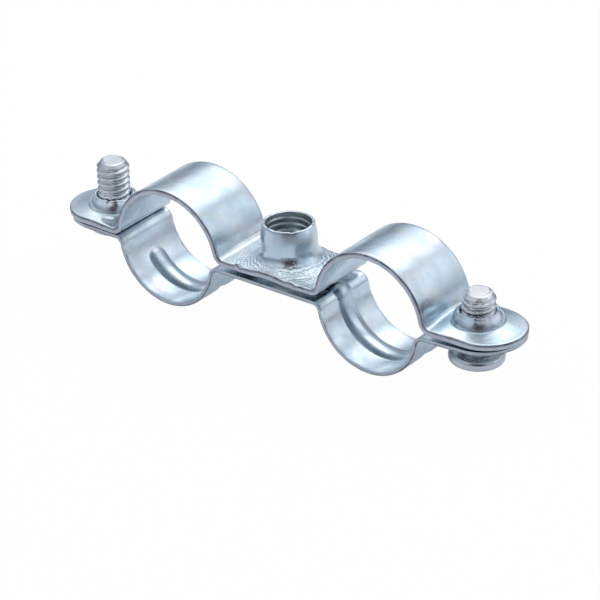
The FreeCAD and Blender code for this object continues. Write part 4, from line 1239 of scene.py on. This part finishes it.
def room(scene):
    """A plain room: pale ceiling, greyer walls near the horizon, and the unlit side by the camera."""
    world = bpy.data.worlds.new("Soft studio")
    scene.world = world
    world.use_nodes = True
    tree = world.node_tree
    tree.nodes.clear()
    direction = add_node(tree, COORDINATES, (-6, 0)).outputs["Generated"]
    height = add_node(tree, SEPARATE, (-5, 0), None, direction).outputs["Z"]
    shades = add_node(tree, "ShaderNodeValToRGB", (-4, 0), None, height)
    elements = shades.color_ramp.elements
    while len(elements) < len(ROOM):
        elements.new(0.5)
    for element, (at, colour) in zip(elements, ROOM):
        element.position = at
        element.color = linear(colour)
    to_camera = [row[2] for row in CAMERA_AXES]
    toward = add_node(tree, VECTOR_MATH, (-5, 2), "DOT_PRODUCT", direction, to_camera)
    unlit = add_node(tree, SPREAD, (-4, 2), None, toward, 0.82, 0.95)
    colour = add_node(tree, BLEND, (-3, 1), IN_COLOUR, unlit, shades, linear(UNLIT))
    back = add_node(tree, "ShaderNodeBackground", (-2, 1), None, colour, 1.0)
    add_node(tree, "ShaderNodeOutputWorld", (0, 1), Surface=back)


def lamp(scene, name, place, size, power):
    """A soft rectangular lamp that faces the clamp."""
    light = bpy.data.lights.new(name, "AREA")
    light.energy = power
    light.shape = "RECTANGLE"
    light.size, light.size_y = size
    holder = bpy.data.objects.new(name, light)
    holder.location = place
    holder.rotation_euler = Vector(place).to_track_quat("Z", "Y").to_euler()
    scene.collection.objects.link(holder)


def camera(scene):
    """The camera at the photograph's viewing angle."""
    lens = bpy.data.cameras.new("camera")
    lens.lens = 210.2
    lens.sensor_width = 36.0
    lens.clip_start = 0.01
    lens.clip_end = 20.0
    eye = bpy.data.objects.new("camera", lens)
    eye.matrix_world = Matrix.Translation(CAMERA_PLACE) @ Matrix(CAMERA_AXES).to_4x4()
    scene.collection.objects.link(eye)
    scene.camera = eye


class CLAMP_OT_stage(bpy.types.Operator):
    """Set the floor, lights and camera"""
    bl_idname = "clamp.stage"
    bl_label = "Stage"

    def execute(self, context):
        scene = context.scene
        settings = scene.clamp_stage
        scene.view_settings.view_transform = "Standard"
        floor = paper_floor(scene, settings.floor)
        room(scene)
        for name, place, size, power in LAMPS:
            lamp(scene, name, place, size, power * settings.key_power)
        camera(scene)
        return {"FINISHED"}


class CLAMP_PT_panel(bpy.types.Panel):
    """Lists the operators and their sizes in the 3D view's sidebar"""
    bl_label = "Double pipe clamp"
    bl_idname = "CLAMP_PT_panel"
    bl_space_type = "VIEW_3D"
    bl_region_type = "UI"
    bl_category = "Pipe clamp"

    def draw(self, context):
        for operator in OPERATORS:
            self.layout.operator(operator.bl_idname)
        for name, group in GROUPS:
            box = self.layout.box()
            for key in group.__annotations__:
                box.prop(getattr(context.scene, name), key)


OPERATORS = (CLAMP_OT_upper_strip, CLAMP_OT_lower_strip, CLAMP_OT_screws, CLAMP_OT_stage)
GROUPS = (
    ("clamp_strips", ClampStripSizes),
    ("clamp_boss", ClampBossSizes),
    ("clamp_screws", ClampScrewSizes),
    ("clamp_finish", ClampFinish),
    ("clamp_stage", ClampStage),
)


def register():
    for name, group in GROUPS:
        bpy.utils.register_class(group)
        setattr(bpy.types.Scene, name, bpy.props.PointerProperty(type=group))
    for operator in OPERATORS:
        bpy.utils.register_class(operator)
    bpy.utils.register_class(CLAMP_PT_panel)


def unregister():
    bpy.utils.unregister_class(CLAMP_PT_panel)
    for operator in reversed(OPERATORS):
        bpy.utils.unregister_class(operator)
    for name, group in reversed(GROUPS):
        delattr(bpy.types.Scene, name)
        bpy.utils.unregister_class(group)


def main():
    register()
    bpy.ops.clamp.upper_strip()
    bpy.ops.clamp.lower_strip()
    bpy.ops.clamp.screws()
    bpy.ops.clamp.stage()


if __name__ == "__main__":
    main()
